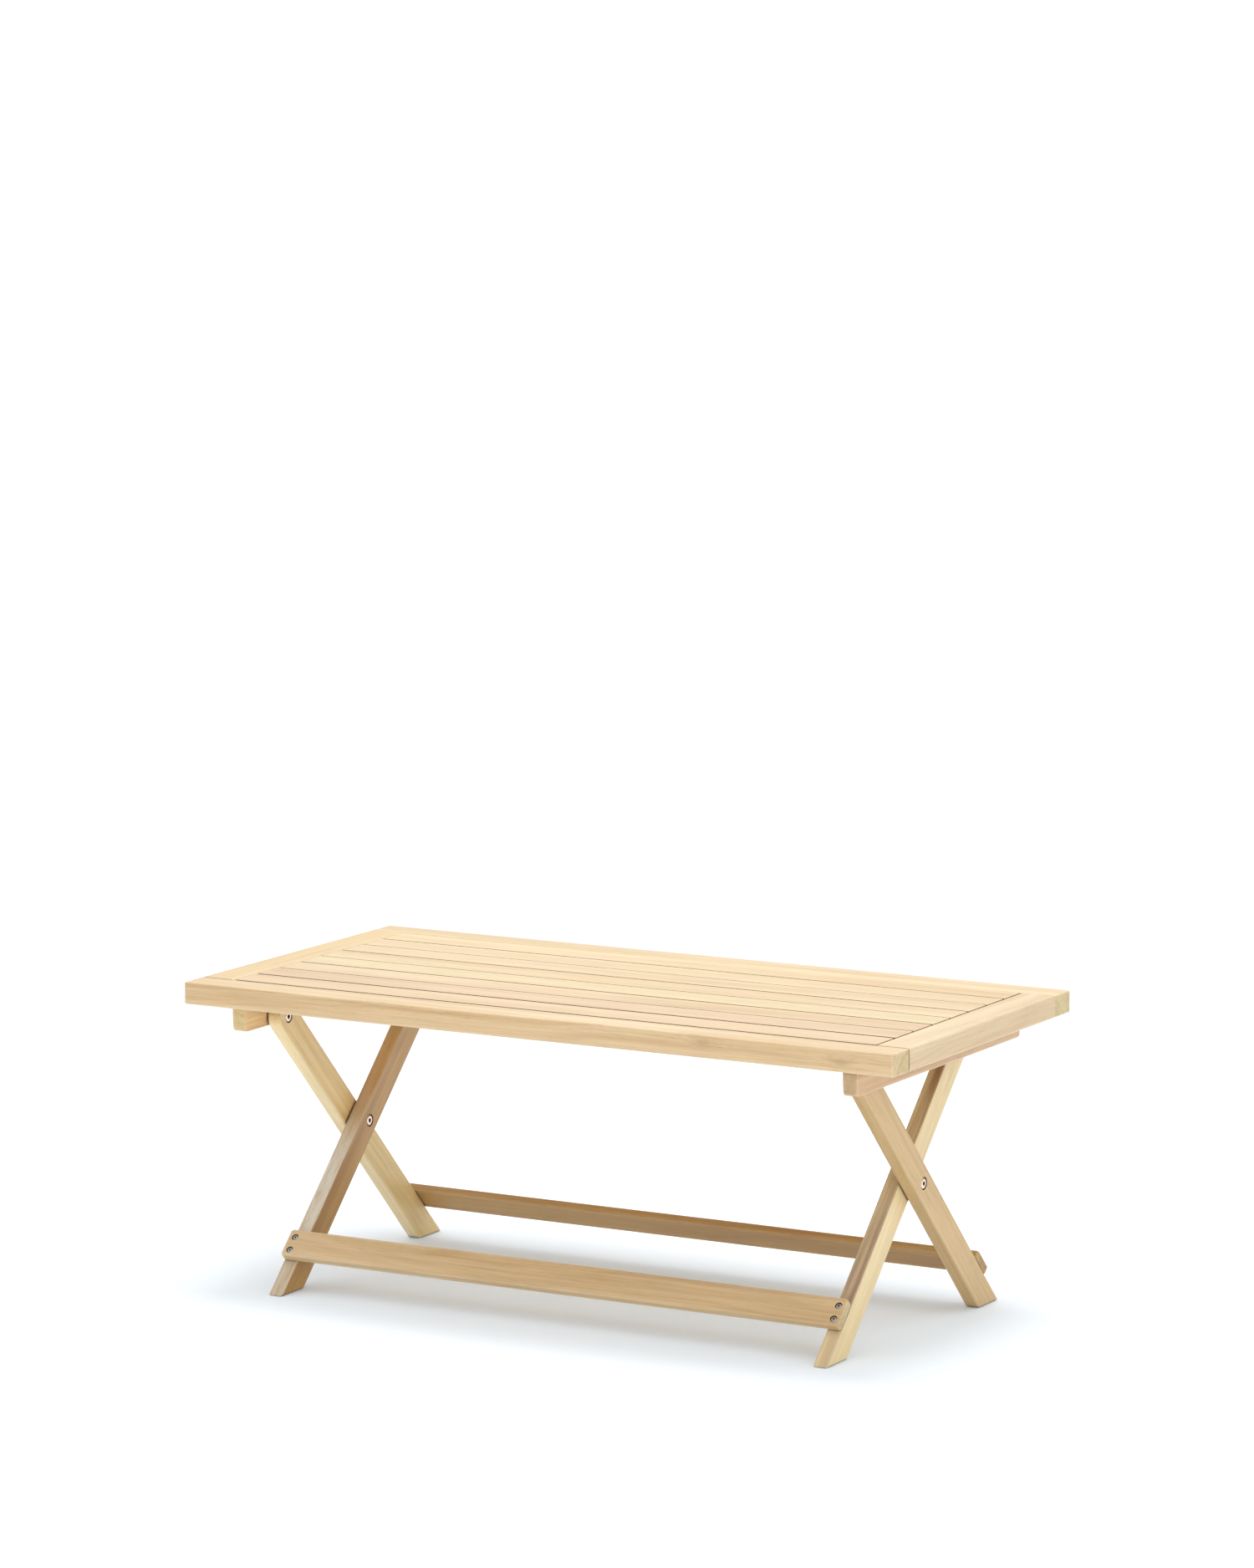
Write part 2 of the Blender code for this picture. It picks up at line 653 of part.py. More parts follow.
def top_pivot(side, word):
    """A bolt from the outer leg's inner face into an insert in the bearer."""
    outward = (side, 0, 0)
    bolt(f"top_pivot_bolt_{word}", (side * OUTER_X, *TOP_PIVOT), outward, TOP_BOLT_L)
    insert(f"top_pivot_insert_{word}", (side * BEARER_X, *TOP_PIVOT), outward)
    point = (side * (BEARER_X - PIVOT_GAP / 2), *TOP_PIVOT)
    washer(f"top_pivot_washer_{word}", point, outward, BOLT_R)


def cross_pivot(side, word):
    """A bolt from the inner leg's inner face into a sleeve nut that comes from
    the outer leg's outer face."""
    outward = (side, 0, 0)
    point = (side * INNER_X, *CROSS)
    bolt(f"cross_pivot_bolt_{word}", point, outward, CROSS_BOLT_L, OUTER_PIVOT)
    point = (side * (OUTER_X + LEG_T), *CROSS)
    sleeve_nut(f"cross_pivot_sleeve_nut_{word}", point, (-side, 0, 0), OUTER_PIVOT)
    point = (side * (OUTER_X - PIVOT_GAP / 2), *CROSS)
    washer(f"cross_pivot_washer_{word}", point, outward, SLEEVE_R, OUTER_PIVOT)


# --------------------------------------------------------------------- build
# helpers are numbered by the objects before them, so the order sets their names
OUTER_PIVOT = pivot_empty("outer_frame_pivot")
INNER_PIVOT = pivot_empty("inner_frame_pivot", OUTER_PIVOT)

for side, place in ENDS:
    long_rail(side, place)
for side, word in SIDES:
    end_rail(side, word)
slat_middles = slats()
for side, word in SIDES:
    bearer(side, word)
for side, word in SIDES:
    catch_block(side, word, batten(side, word, slat_middles))

for side, word in SIDES:
    leg_pair(side, word)
stretcher("front", 1, FRONT_SPAN, INNER_X, INNER_PIVOT)
stretcher("back", -1, BACK_SPAN, OUTER_X, OUTER_PIVOT)
crossbar()
for side, word in SIDES:
    top_pivot(side, word)
    cross_pivot(side, word)
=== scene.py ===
"""A folding slatted table in acacia with steel bolts and screws.

It stands open on the floor at z = 0. X runs along the slats, -Y is the front and Z is
up. The legs cross in two pairs at 45 degrees: the inner pair has its feet at the front
and carries the round crossbar at the back, the outer pair has its feet at the back and
is bolted to the bearers at the front. Units are metres.
"""

import json
import math
from collections import namedtuple
from types import SimpleNamespace

import bmesh
import bpy
from mathutils import Matrix, Vector


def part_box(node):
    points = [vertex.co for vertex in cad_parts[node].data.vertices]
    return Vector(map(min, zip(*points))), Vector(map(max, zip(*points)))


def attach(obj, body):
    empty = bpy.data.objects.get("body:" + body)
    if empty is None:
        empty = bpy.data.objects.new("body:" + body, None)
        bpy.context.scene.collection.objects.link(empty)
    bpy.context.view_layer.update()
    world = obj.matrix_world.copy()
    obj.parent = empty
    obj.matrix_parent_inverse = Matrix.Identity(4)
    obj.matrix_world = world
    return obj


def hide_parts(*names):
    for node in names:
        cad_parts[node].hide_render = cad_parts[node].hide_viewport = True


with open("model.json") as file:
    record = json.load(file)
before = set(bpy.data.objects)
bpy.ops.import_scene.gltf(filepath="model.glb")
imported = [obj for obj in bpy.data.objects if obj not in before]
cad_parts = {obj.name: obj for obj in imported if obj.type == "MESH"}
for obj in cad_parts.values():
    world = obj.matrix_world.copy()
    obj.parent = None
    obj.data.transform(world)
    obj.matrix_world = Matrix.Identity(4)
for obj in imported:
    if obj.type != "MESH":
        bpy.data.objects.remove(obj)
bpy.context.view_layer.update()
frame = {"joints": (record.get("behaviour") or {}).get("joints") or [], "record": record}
JOINTS = {joint["name"]: joint for joint in frame["joints"]}
BODY = {
    node: body
    for body, nodes in frame["record"]["behaviour"]["bodies"].items()
    for node in nodes
}

Extent = namedtuple("Extent", "mid half low high")


def extent(node):
    low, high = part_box(node)
    return Extent((low + high) / 2, (high - low) / 2, low, high)


def inner_x(node, side):
    """X of the face nearest the table's middle, on side -1 (left) or 1 (right)."""
    return side * min(abs(corner.x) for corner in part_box(node))


def outer_x(node, side):
    return side * max(abs(corner.x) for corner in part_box(node))


# ============================================================== dimensions
ROOT_HALF = math.sqrt(0.5)  # sine and cosine of the legs' lean
SIDES = ((-1, "left"), (1, "right"))
GAP = 0.0003  # play between pieces that meet
OVERCUT = 0.002  # how far a cutter starts outside the wood

P_TOP = Vector(JOINTS["outer_leg_fold"]["pos_m"])  # bolts in the bearers
P_CROSS = Vector(JOINTS["inner_leg_fold"]["pos_m"])  # bolts where the legs cross
BAR = extent("crossbar")

# top
RAIL_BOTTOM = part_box("front_rail")[0].z
TOP_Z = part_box("front_rail")[1].z
SLAT_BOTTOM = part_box("slat_1")[0].z
IN_Y = abs(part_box("front_rail")[1].y)  # inner faces of the long rails
IN_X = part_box("right_end_rail")[0].x  # inner faces of the end rails
END_RAIL_X = IN_X + 0.0225  # middle of the end rails
TENON_WIDTH = 0.025
TENON_HALF = 0.0055  # half its thickness
TENON_LENGTH = 0.020
TENON_Z = 0.3805
TONGUE_HALF = 0.003  # half the thickness of a slat's end tongue
SCREWED_SLATS = ("slat_3", "slat_6")

# legs and stretchers
LEG_WIDTH = 0.039
FOOT_Y = 0.190
STRETCHER_THICK = 0.012
# reach of the stretcher screws up the leg's middle line from the floor
SCREW_REACH = {"low": 0.0440, "high": 0.0630}
# half way from the cross bolt to the top bolt, along the leg
BORE_REACH = (P_TOP - P_CROSS).length / 2

# bolts and washers
HEAD_RADIUS, HEAD_HEIGHT = 0.0067, 0.0020
HEX_RADIUS, HEX_DEPTH = 0.0027, 0.0015
SHANK_RADIUS = 0.0030
SHANK_START = GAP + HEAD_HEIGHT
BOLT_HOLE = SHANK_RADIUS + GAP
BOLT_SEAT, BOLT_SEAT_DEPTH = 0.0080, 0.0026
SLEEVE_RADIUS = 0.0040
SLEEVE_HOLE = SLEEVE_RADIUS + GAP
INSERT_RADIUS = 0.0050
INSERT_LENGTH = 0.0125
WASHER_RADIUS = 0.0090

# screws
PILOT_RADIUS = 0.0023
SCREW_SEAT, SCREW_SEAT_DEPTH = 0.0044, 0.0040
BEARER_SCREW_Y = 0.2165
CATCH_SCREW_REACH = 0.026  # in Y, either side of the crossbar


# ========================================================= shader networks
class Net:
    """Short words for building a node tree."""

    def __init__(self, tree):
        self.tree = tree

    def node(self, kind, inputs=None, **props):
        made = self.tree.nodes.new(kind)
        for key, value in props.items():
            setattr(made, key, value)
        for key, value in (inputs or {}).items():
            self.feed(made.inputs[key], value)
        return made

    def feed(self, socket, value):
        if isinstance(value, bpy.types.NodeSocket):
            self.tree.links.new(value, socket)
        else:
            socket.default_value = value

    def math(self, operation, *values, clamp=False):
        made = self.node("ShaderNodeMath", operation=operation, use_clamp=clamp)
        for socket, value in zip(made.inputs, (*values, 0.0, 0.0)):
            self.feed(socket, value)
        return made.outputs[0]

    def add(self, value, plus, clamp=False):
        return self.math("ADD", value, plus, clamp=clamp)

    def sub(self, value, minus, clamp=False):
        return self.math("SUBTRACT", value, minus, clamp=clamp)

    def mul(self, value, by, clamp=False):
        return self.math("MULTIPLY", value, by, clamp=clamp)

    def add_part(self, total, part, weight, clamp=False):
        return self.add(total, self.mul(part, weight), clamp)

    def sub_part(self, total, part, weight, clamp=False):
        return self.sub(total, self.mul(part, weight), clamp)

    def centred(self, value):
        """A 0 to 1 value moved to lie about 0."""
        return self.sub(value, 0.5)

    def length(self, a, b):
        return self.math("SQRT", self.add(self.mul(a, a), self.mul(b, b)))

    def vec(self, operation, a, b=(0, 0, 0)):
        made = self.node("ShaderNodeVectorMath", operation=operation)
        self.feed(made.inputs[0], a)
        self.feed(made.inputs[1], b)
        return made.outputs["Value" if operation in ("LENGTH", "DOT_PRODUCT") else "Vector"]

    def split(self, vector):
        made = self.node("ShaderNodeSeparateXYZ", {"Vector": vector})
        return made.outputs[0], made.outputs[1], made.outputs[2]

    def join(self, x, y, z):
        return self.node("ShaderNodeCombineXYZ", {"X": x, "Y": y, "Z": z}).outputs[0]

    def plain_noise(self, vector, detail, rough=0.5, distort=0.0):
        inputs = {"Vector": vector, "Scale": 1.0, "Detail": detail, "Roughness": rough,
                  "Distortion": distort}
        return self.node("ShaderNodeTexNoise", inputs).outputs[0]

    def noise(self, vector, stretch, detail=2.0, rough=0.5, distort=0.0):
        """Noise of stretch[i] cells a metre along each axis."""
        return self.plain_noise(self.vec("MULTIPLY", vector, stretch), detail, rough, distort)

    def step(self, value, span, to=(0.0, 1.0)):
        """A smooth step over the span, which may fall as well as rise."""
        inputs = {"Value": value, "From Min": span[0], "From Max": span[1],
                  "To Min": to[0], "To Max": to[1]}
        made = self.node("ShaderNodeMapRange", inputs, interpolation_type="SMOOTHSTEP")
        return made.outputs[0]

    def mix(self, share, a, b, blend="MIX"):
        made = self.node("ShaderNodeMix", data_type="RGBA", blend_type=blend)
        self.feed(made.inputs[0], share)
        self.feed(made.inputs[6], a)
        self.feed(made.inputs[7], b)
        return made.outputs[2]

    def scale_colour(self, colour, factor):
        inputs = {0: colour, "Scale": factor}
        return self.node("ShaderNodeVectorMath", inputs, operation="SCALE").outputs[0]

    def bump(self, height, strength):
        inputs = {"Height": height, "Strength": strength, "Distance": 1.0}
        return self.node("ShaderNodeBump", inputs).outputs[0]


def empty_material(name):
    made = bpy.data.materials.new(name)
    made.use_nodes = True
    made.node_tree.nodes.clear()
    return made, Net(made.node_tree)


def srgb(*channels):
    def linear(channel):
        c = channel / 255.0
        return c / 12.92 if c <= 0.04045 else ((c + 0.055) / 1.055) ** 2.4

    return (*map(linear, channels), 1.0)


# ------------------------------------------------------------------ timber
# kind, name, default
TIMBER_SOCKETS = (
    ("Color", "Light", (0.7, 0.5, 0.3, 1)),
    ("Color", "Dark", (0.6, 0.4, 0.22, 1)),
    ("Color", "Streak", (0.4, 0.25, 0.13, 1)),
    ("Color", "Tint", (0.6, 0.4, 0.22, 1)),
    ("Float", "Streaks", 0.3),
    ("Float", "Contrast", 1.0),
    ("Float", "Weather", 0.0),  # grey on the upper side, low down
    ("Float", "TintUp", 0.0),  # share of Tint on the +Y side
    # painted sheen on the top faces
    ("Float", "Bleach", 0.0),
    ("Float", "Sides", 0.0),  # painted shade on both Y sides
    ("Float", "TintDown", 0.0),  # share of Tint on the -Y side
    ("Color", "LowMul", (1.0, 1.0, 1.0, 1)),  # multiplies the low end
    ("Vector", "Bores", (0.0, 0.0, 0.0)),  # reach of the seats from BoreMid
    ("Vector", "BoreMid", (0.0, 0.0, 0.0)),
    ("Float", "BoreR", 0.0),
    ("Float", "Seed", 0.0),
    ("Vector", "Pith", (0.0, 0.05, 0.08)),  # tilt, then its place in Y and Z
    ("Vector", "Origin", (0.0, 0.0, 0.0)),
    ("Vector", "AxisX", (1.0, 0.0, 0.0)),
    ("Vector", "AxisY", (0.0, 1.0, 0.0)),
    ("Vector", "AxisZ", (0.0, 0.0, 1.0)),
    ("Vector", "Half", (0.5, 0.02, 0.01)),  # half the board's size
    ("Vector", "Knot", (0.0, 0.0, 9.0)),  # far outside the board: no knot
    ("Vector", "Knot2", (0.0, 0.0, 9.0)),
)


def board_frame(net, given):
    """The shaded point and normal in the board's own frame, and the point shifted by Seed."""
    coords = net.node("ShaderNodeTexCoord").outputs
    away = net.vec("SUBTRACT", coords["Object"], given["Origin"])
    axes = [given["Axis" + letter] for letter in "XYZ"]
    x, y, z = (net.vec("DOT_PRODUCT", away, axis) for axis in axes)
    nx, ny, nz = (net.vec("DOT_PRODUCT", coords["Normal"], axis) for axis in axes)
    point = net.join(x, y, z)
    shift = net.join(*(net.mul(given["Seed"], by=factor) for factor in (7.31, 3.17, 5.73)))
    grain = net.vec("ADD", point, shift)
    return SimpleNamespace(x=x, y=y, z=z, nx=nx, ny=ny, nz=nz, point=point, grain=grain)


def knots(net, given, board):
    """How much the knots pull the rings, and their cores."""
    fields = []
    for name in ("Knot", "Knot2"):
        away = net.vec("SUBTRACT", board.point, given[name])
        distance = net.vec("LENGTH", net.vec("MULTIPLY", away, (0.42, 1.0, 1.0)))
        fields.append((net.step(distance, span=(0.013, 0.0015)),
                       net.step(distance, span=(0.0052, 0.0018))))
    return [net.math("MAXIMUM", first, second) for first, second in zip(*fields)]


def ring_radius(net, given, board, pull):
    """Distance from a pith that runs a little across the board, made wavy."""
    tilt, pith_y, pith_z = net.split(given["Pith"])
    slow = net.centred(net.noise(board.grain, stretch=(1.7, 7.0, 7.0)))
    quick = net.centred(net.noise(board.grain, stretch=(7.0, 70.0, 70.0)))
    from_y = net.add(net.sub(board.y, pith_y), net.mul(board.x, tilt))
    from_z = net.sub(net.sub(board.z, pith_z), net.mul(board.x, net.mul(tilt, by=0.6)))
    radius = net.length(from_y, from_z)
    wave = net.centred(net.noise(board.grain, stretch=(4.6, 17.0, 17.0)))
    radius = net.add_part(radius, slow, weight=0.034)
    radius = net.add_part(radius, wave, weight=0.012)
    radius = net.add_part(radius, quick, weight=0.0016)
    radius = net.add_part(radius, pull, weight=0.0065)
    return radius, slow, quick


def growth_rings(net, given, board, radius):
    """Fine rings, their late wood, and broad bands."""

    def lane(across, seed, along):
        return net.join(net.mul(radius, across), net.mul(given["Seed"], seed),
                        net.mul(board.x, along))

    fine = net.plain_noise(lane(across=330.0, seed=11.0, along=1.4), detail=3.0, rough=0.62)
    rings = net.step(fine, span=(0.34, 0.68))
    late = net.step(fine, span=(0.60, 0.72))
    broad = net.plain_noise(lane(across=62.0, seed=5.0, along=0.7), detail=2.0)
    return rings, late, net.step(broad, span=(0.36, 0.66))


def fibres(net, grain):
    """Fibre, pores, rays and slow drifts of colour."""
    fibre = net.noise(grain, stretch=(9.0, 620.0, 620.0), detail=3.0, rough=0.6)
    lines = net.noise(grain, stretch=(3.2, 150.0, 150.0), detail=3.0, rough=0.55)
    pores = net.step(net.noise(grain, stretch=(52.0, 1500.0, 1500.0), detail=1.0),
                     span=(0.655, 0.73))
    pore_zone = net.step(net.noise(grain, stretch=(3.0, 40.0, 40.0), detail=1.0),
                         span=(0.35, 0.62))
    pores = net.mul(pores, net.add(net.mul(pore_zone, by=0.8), plus=0.2))
    drift = net.noise(grain, stretch=(1.5, 10.0, 10.0))
    blotch = net.noise(grain, stretch=(11.0, 30.0, 30.0), detail=3.0, rough=0.6)
    ray = net.step(net.noise(grain, stretch=(140.0, 420.0, 420.0), detail=1.0),
                   span=(0.62, 0.75))
    return SimpleNamespace(fibre=fibre, lines=lines, pores=pores, drift=drift,
                           blotch=blotch, ray=ray)


def wood_colour(net, given, board, growth, fine):
    """Light to Dark wood with heartwood streaks."""
    rings, late, bands = growth
    middle = 0.45  # the amount that Contrast leaves alone
    amount = net.add_part(net.mul(bands, by=0.34), rings, weight=0.26)
    amount = net.add_part(amount, late, weight=0.16)
    amount = net.add_part(amount, net.step(fine.lines, span=(0.35, 0.68)), weight=0.26)
    amount = net.add_part(amount, net.centred(fine.drift), weight=0.9)
    amount = net.mul(net.sub(amount, middle), net.mul(given["Contrast"], by=1.15))
    amount = net.add(amount, middle, clamp=True)
    colour = net.mix(amount, given["Light"], given["Dark"])

    heart = net.noise(board.grain, stretch=(1.1, 34.0, 34.0), detail=4.0, rough=0.55,
                      distort=0.25)
    heart = net.mul(net.step(heart, span=(0.50, 0.72)), given["Streaks"], clamp=True)
    heart = net.mul(heart, net.add(net.mul(fine.lines, by=0.9), plus=0.45), clamp=True)
    colour = net.mix(heart, colour, given["Streak"])

    # legs may turn darker towards the foot
    foot = net.step(board.x, span=(0.10, -0.22))
    return net.mix(foot, colour, given["LowMul"], "MULTIPLY")


def side_colours(net, given, board, lines, colour):
    """Tinted Y sides in patches that follow the grain, a painted sheen on the top, and
    painted shade on both Y sides.
    """
    # colours of the painted sheen on the top and of the painted shade on the Y sides
    painted_top_sheen, painted_side_shade = (0.90, 0.985, 1.13, 1), (0.20, 0.14, 0.10, 1)
    up = net.step(board.ny, span=(0.35, 0.8))
    patch = net.step(net.noise(board.grain, stretch=(2.0, 48.0, 48.0), detail=3.0),
                     span=(0.28, 0.52))
    up = net.mul(up, net.step(board.x, span=(-0.250, -0.205), to=(0.35, 1.0)))
    tint = net.add(net.mul(up, given["TintUp"]),
                   net.mul(net.step(board.ny, span=(-0.35, -0.8)), given["TintDown"]))
    tint = net.mul(tint, net.add(net.mul(patch, by=0.8), plus=0.2), clamp=True)
    lined = net.mix(1.0, given["Tint"], net.join(lines, lines, lines), "SOFT_LIGHT")
    colour = net.mix(tint, colour, lined)

    # painted sheen: the top faces turn paler and bluer, standing in for the reflection of the
    # white surroundings
    top = net.mul(net.step(board.nz, span=(0.55, 0.9)), given["Bleach"])
    colour = net.mix(top, colour, painted_top_sheen, "MULTIPLY")
    # painted shade on the Y sides, standing in for the shadow in the gaps between slats
    sides = net.step(net.math("ABSOLUTE", board.ny), span=(0.55, 0.92))
    return net.mix(net.mul(sides, given["Sides"]), colour, painted_side_shade, "MULTIPLY")


def weathering(net, given, board, colour):
    """Grey on the upper side below the crossing of the legs."""
    grey = (0.70, 0.645, 0.54, 1)
    low = net.mul(net.step(board.x, span=(0.06, -0.10)),
                  net.step(board.x, span=(-0.240, -0.195), to=(0.55, 1.0)))
    chalk = net.noise(board.grain, stretch=(16.0, 210.0, 210.0), detail=4.0, rough=0.75)
    chalk = net.step(chalk, span=(0.24, 0.56))
    weather = net.mul(net.mul(net.step(board.ny, span=(0.15, 0.7)), low),
                      net.mul(chalk, given["Weather"]), clamp=True)
    return weather, net.mix(weather, colour, grey)


def fine_tone(net, given, fine, pull, core, colour):
    """Lightness of fibres, pores and rays, and the knots' colour."""
    knot_heart = (0.30, 0.22, 0.15, 1)
    lightness = net.add(net.mul(net.centred(fine.fibre), by=0.40), plus=1.0)
    lightness = net.add_part(lightness, net.centred(fine.blotch), weight=0.10)
    lightness = net.add_part(lightness, fine.ray, weight=0.030)
    lightness = net.sub_part(lightness, fine.pores, weight=0.26)
    colour = net.scale_colour(colour, lightness)
    colour = net.mix(net.mul(pull, by=0.10), colour, given["Streak"])
    return net.mix(net.mul(core, by=0.22), colour, knot_heart)


def end_grain(net, given, board, late, colour):
    """Sawn ends are darker, duller and a little greener, with open pores."""
    dull, pore_dark = (0.86, 0.95, 0.95, 1), (0.14, 0.085, 0.045, 1)
    end = net.step(net.math("ABSOLUTE", board.nx), span=(0.72, 0.93))
    dots = net.step(net.noise(board.grain, stretch=(300.0, 900.0, 900.0), detail=1.0),
                    span=(0.58, 0.72))
    colour = net.mix(end, colour, dull, "MULTIPLY")
    colour = net.mix(net.mul(end, net.mul(late, by=0.42)), colour, given["Streak"])
    colour = net.mix(net.mul(end, net.mul(dots, by=0.22)), colour, pore_dark)
    return end, dots, colour


def handled_edges(net, given, board, colour):
    """Edges rubbed a little paler, with broken nicks of darker, dirty wear."""
    rubbed = (0.80, 0.66, 0.47, 1)
    off = net.vec("SUBTRACT", net.vec("ABSOLUTE", board.point), given["Half"])
    x, y, z = net.split(off)
    biggest = net.math("MAXIMUM", x, net.math("MAXIMUM", y, z))
    smallest = net.math("MINIMUM", x, net.math("MINIMUM", y, z))
    total = net.add(x, net.add(y, z))
    # the middle one of the three depths is small only near an edge
    middle = net.sub(total, net.add(biggest, smallest))
    rub = net.noise(board.grain, stretch=(26.0, 90.0, 90.0), detail=3.0, rough=0.65)
    reach = net.mul(rub, by=0.0062)
    edge = net.step(net.add(middle, reach), span=(-0.0009, 0.0022))
    colour = net.mix(net.mul(edge, by=0.16), colour, rubbed)
    nick = net.mul(net.step(middle, span=(-0.0030, -0.0006)),
                   net.step(rub, span=(0.64, 0.74)))
    return edge, net.mix(net.mul(nick, by=0.20), colour, given["Streak"])


def painted_seat_shade(net, given, board, colour):
    """Painted shade: the walls of bolt and screw seats are darkened, standing in for the
    shadow inside them.
    """
    # the colour of the painted shade in the seats
    seat_shade_colour = (0.055, 0.030, 0.016, 1)
    reach_x, reach_y, _ = net.split(given["Bores"])
    mid_x, mid_y, _ = net.split(given["BoreMid"])
    away_x = net.sub(net.math("ABSOLUTE", net.sub(board.x, mid_x)), reach_x)
    away_y = net.sub(net.math("ABSOLUTE", net.sub(board.y, mid_y)), reach_y)
    outside = net.sub(net.length(away_x, away_y), given["BoreR"])
    seat_shade = net.step(outside, span=(0.00045, -0.00010))
    smallest_bore = 0.0001
    seat_shade = net.mul(seat_shade, net.math("GREATER_THAN", given["BoreR"], smallest_bore))
    return net.mix(net.mul(seat_shade, by=0.9), colour, seat_shade_colour)


def painted_crevice_shade(net, colour):
    """Painted shade: ambient occlusion darkens the colour where boards meet and in tight
    gaps, standing in for the shadow there.
    """
    # the colour of the painted shade in crevices
    crevice_shade_colour = (0.17, 0.115, 0.075, 1)
    crevice = net.node("ShaderNodeAmbientOcclusion", {"Distance": 0.006}, samples=6)
    crevice = net.step(crevice.outputs["AO"], span=(0.62, 0.12))
    return net.mix(net.mul(crevice, by=0.72), colour, crevice_shade_colour, "MULTIPLY")


def timber_group():
    """Planed acacia. Its point is in the board's own frame, metres, X along the
    grain, so the end grain shows the same growth rings that the faces cut."""
    group = bpy.data.node_groups.new("timber", "ShaderNodeTree")
    for kind, name, value in TIMBER_SOCKETS:
        socket = group.interface.new_socket(
            name, in_out="INPUT", socket_type="NodeSocket" + kind)
        socket.default_value = value
    group.interface.new_socket("BSDF", in_out="OUTPUT", socket_type="NodeSocketShader")
    net = Net(group)
    given = net.node("NodeGroupInput").outputs
    board = board_frame(net, given)
    pull, core = knots(net, given, board)
    radius, slow, quick = ring_radius(net, given, board, pull)
    growth = growth_rings(net, given, board, radius)
    late = growth[1]
    fine = fibres(net, board.grain)

    colour = wood_colour(net, given, board, growth, fine)
    colour = side_colours(net, given, board, fine.lines, colour)
    weather, colour = weathering(net, given, board, colour)
    colour = fine_tone(net, given, fine, pull, core, colour)
    end, dots, colour = end_grain(net, given, board, late, colour)
    edge, colour = handled_edges(net, given, board, colour)
    # painted shade in the bolt and screw seats
    colour = painted_seat_shade(net, given, board, colour)
    # painted shade where boards meet and in gaps
    colour = painted_crevice_shade(net, colour)

    # surface height, in metres
    height = net.mul(net.centred(fine.fibre), by=0.00012)
    height = net.add_part(height, late, weight=0.00002)
    height = net.sub_part(height, fine.pores, weight=0.00014)
    height = net.add_part(height, quick, weight=0.00030)
    height = net.add_part(height, slow, weight=0.0020)
    height = net.sub_part(height, net.mul(end, dots), weight=0.0001)
    height = net.sub_part(height, core, weight=0.0002)
    normal = net.bump(height, strength=0.55)

    rough = net.add(net.mul(fine.fibre, by=0.16), plus=0.37)
    rough = net.add_part(rough, end, weight=0.20)
    rough = net.add_part(rough, weather, weight=0.20)
    rough = net.sub_part(rough, edge, weight=0.05, clamp=True)
    shader = net.node("ShaderNodeBsdfPrincipled", {
        "Base Color": colour, "Roughness": rough, "Normal": normal,
        "Specular IOR Level": 0.52,
    })
    group_out = net.node("NodeGroupOutput")
    net.feed(group_out.inputs["BSDF"], shader.outputs[0])
    return group


TIMBER = timber_group()
LIGHT, DARKER, STREAK = srgb(226, 196, 150), srgb(204, 168, 118), srgb(148, 106, 66)


def timber(name, half, shade, **values):
    """A board's material. shade is how light each channel is against the common
    timber; values are inputs of the timber group."""

    def shaded(colour):
        return (*(min(1.0, c * factor) for c, factor in zip(colour, shade)), 1.0)

    made, net = empty_material(name)
    group = net.node("ShaderNodeGroup", node_tree=TIMBER)
    values.update(Light=shaded(LIGHT), Dark=shaded(DARKER), Streak=STREAK, Half=half)
    for key, value in values.items():
        group.inputs[key].default_value = value
    net.feed(net.node("ShaderNodeOutputMaterial").inputs["Surface"], group.outputs[0])
    return made


# ------------------------------------------------------------------- metal
def metal(name, colour, dark, rough):
    """Plated steel with fine turning marks about the piece's own Z, and specks."""
    made, net = empty_material(name)
    speck_colour = (0.10, 0.075, 0.055, 1)
    point = net.node("ShaderNodeTexCoord").outputs["Object"]
    x, y, z = net.split(point)
    radius = net.length(x, y)
    turned = net.noise(net.join(radius, net.mul(z, by=1.0), 0.0),
                       stretch=(9000.0, 5000.0, 1.0), detail=3.0, rough=0.7)
    specks = net.noise(point, stretch=(1400.0, 1400.0, 1400.0), detail=3.0, rough=0.7)
    specks = net.step(specks, span=(0.56, 0.74))
    stain = net.noise(point, stretch=(260.0, 260.0, 260.0), detail=3.0, rough=0.6)
    mixed = net.mix(net.step(stain, span=(0.38, 0.70)), colour, dark)
    mixed = net.mix(net.mul(specks, by=0.35), mixed, speck_colour)
    roughness = net.add(net.mul(turned, by=0.11), plus=rough)
    roughness = net.add_part(roughness, specks, weight=0.25, clamp=True)
    height = net.add_part(net.mul(turned, by=0.000012), specks, weight=-0.00002)
    shader = net.node("ShaderNodeBsdfPrincipled", {
        "Base Color": mixed, "Roughness": roughness,
        "Normal": net.bump(height, strength=0.6), "Metallic": 0.92,
    })
    net.feed(net.node("ShaderNodeOutputMaterial").inputs["Surface"], shader.outputs[0])
    return made


STEEL = metal("zinc_steel", colour=(0.50, 0.48, 0.45, 1), dark=(0.30, 0.28, 0.25, 1),
              rough=0.32)
WARM = metal("warm_nickel", colour=(0.88, 0.70, 0.58, 1), dark=(0.74, 0.50, 0.38, 1),
             rough=0.26)
DARK = metal("socket_shadow", colour=(0.022, 0.017, 0.013, 1),
             dark=(0.012, 0.009, 0.007, 1), rough=0.6)


# ================================================================ geometry
def columns_matrix(x_axis, y_axis, z_axis, place):
    made = Matrix((x_axis, y_axis, z_axis)).transposed().to_4x4()
    made.translation = Vector(place)
    return made


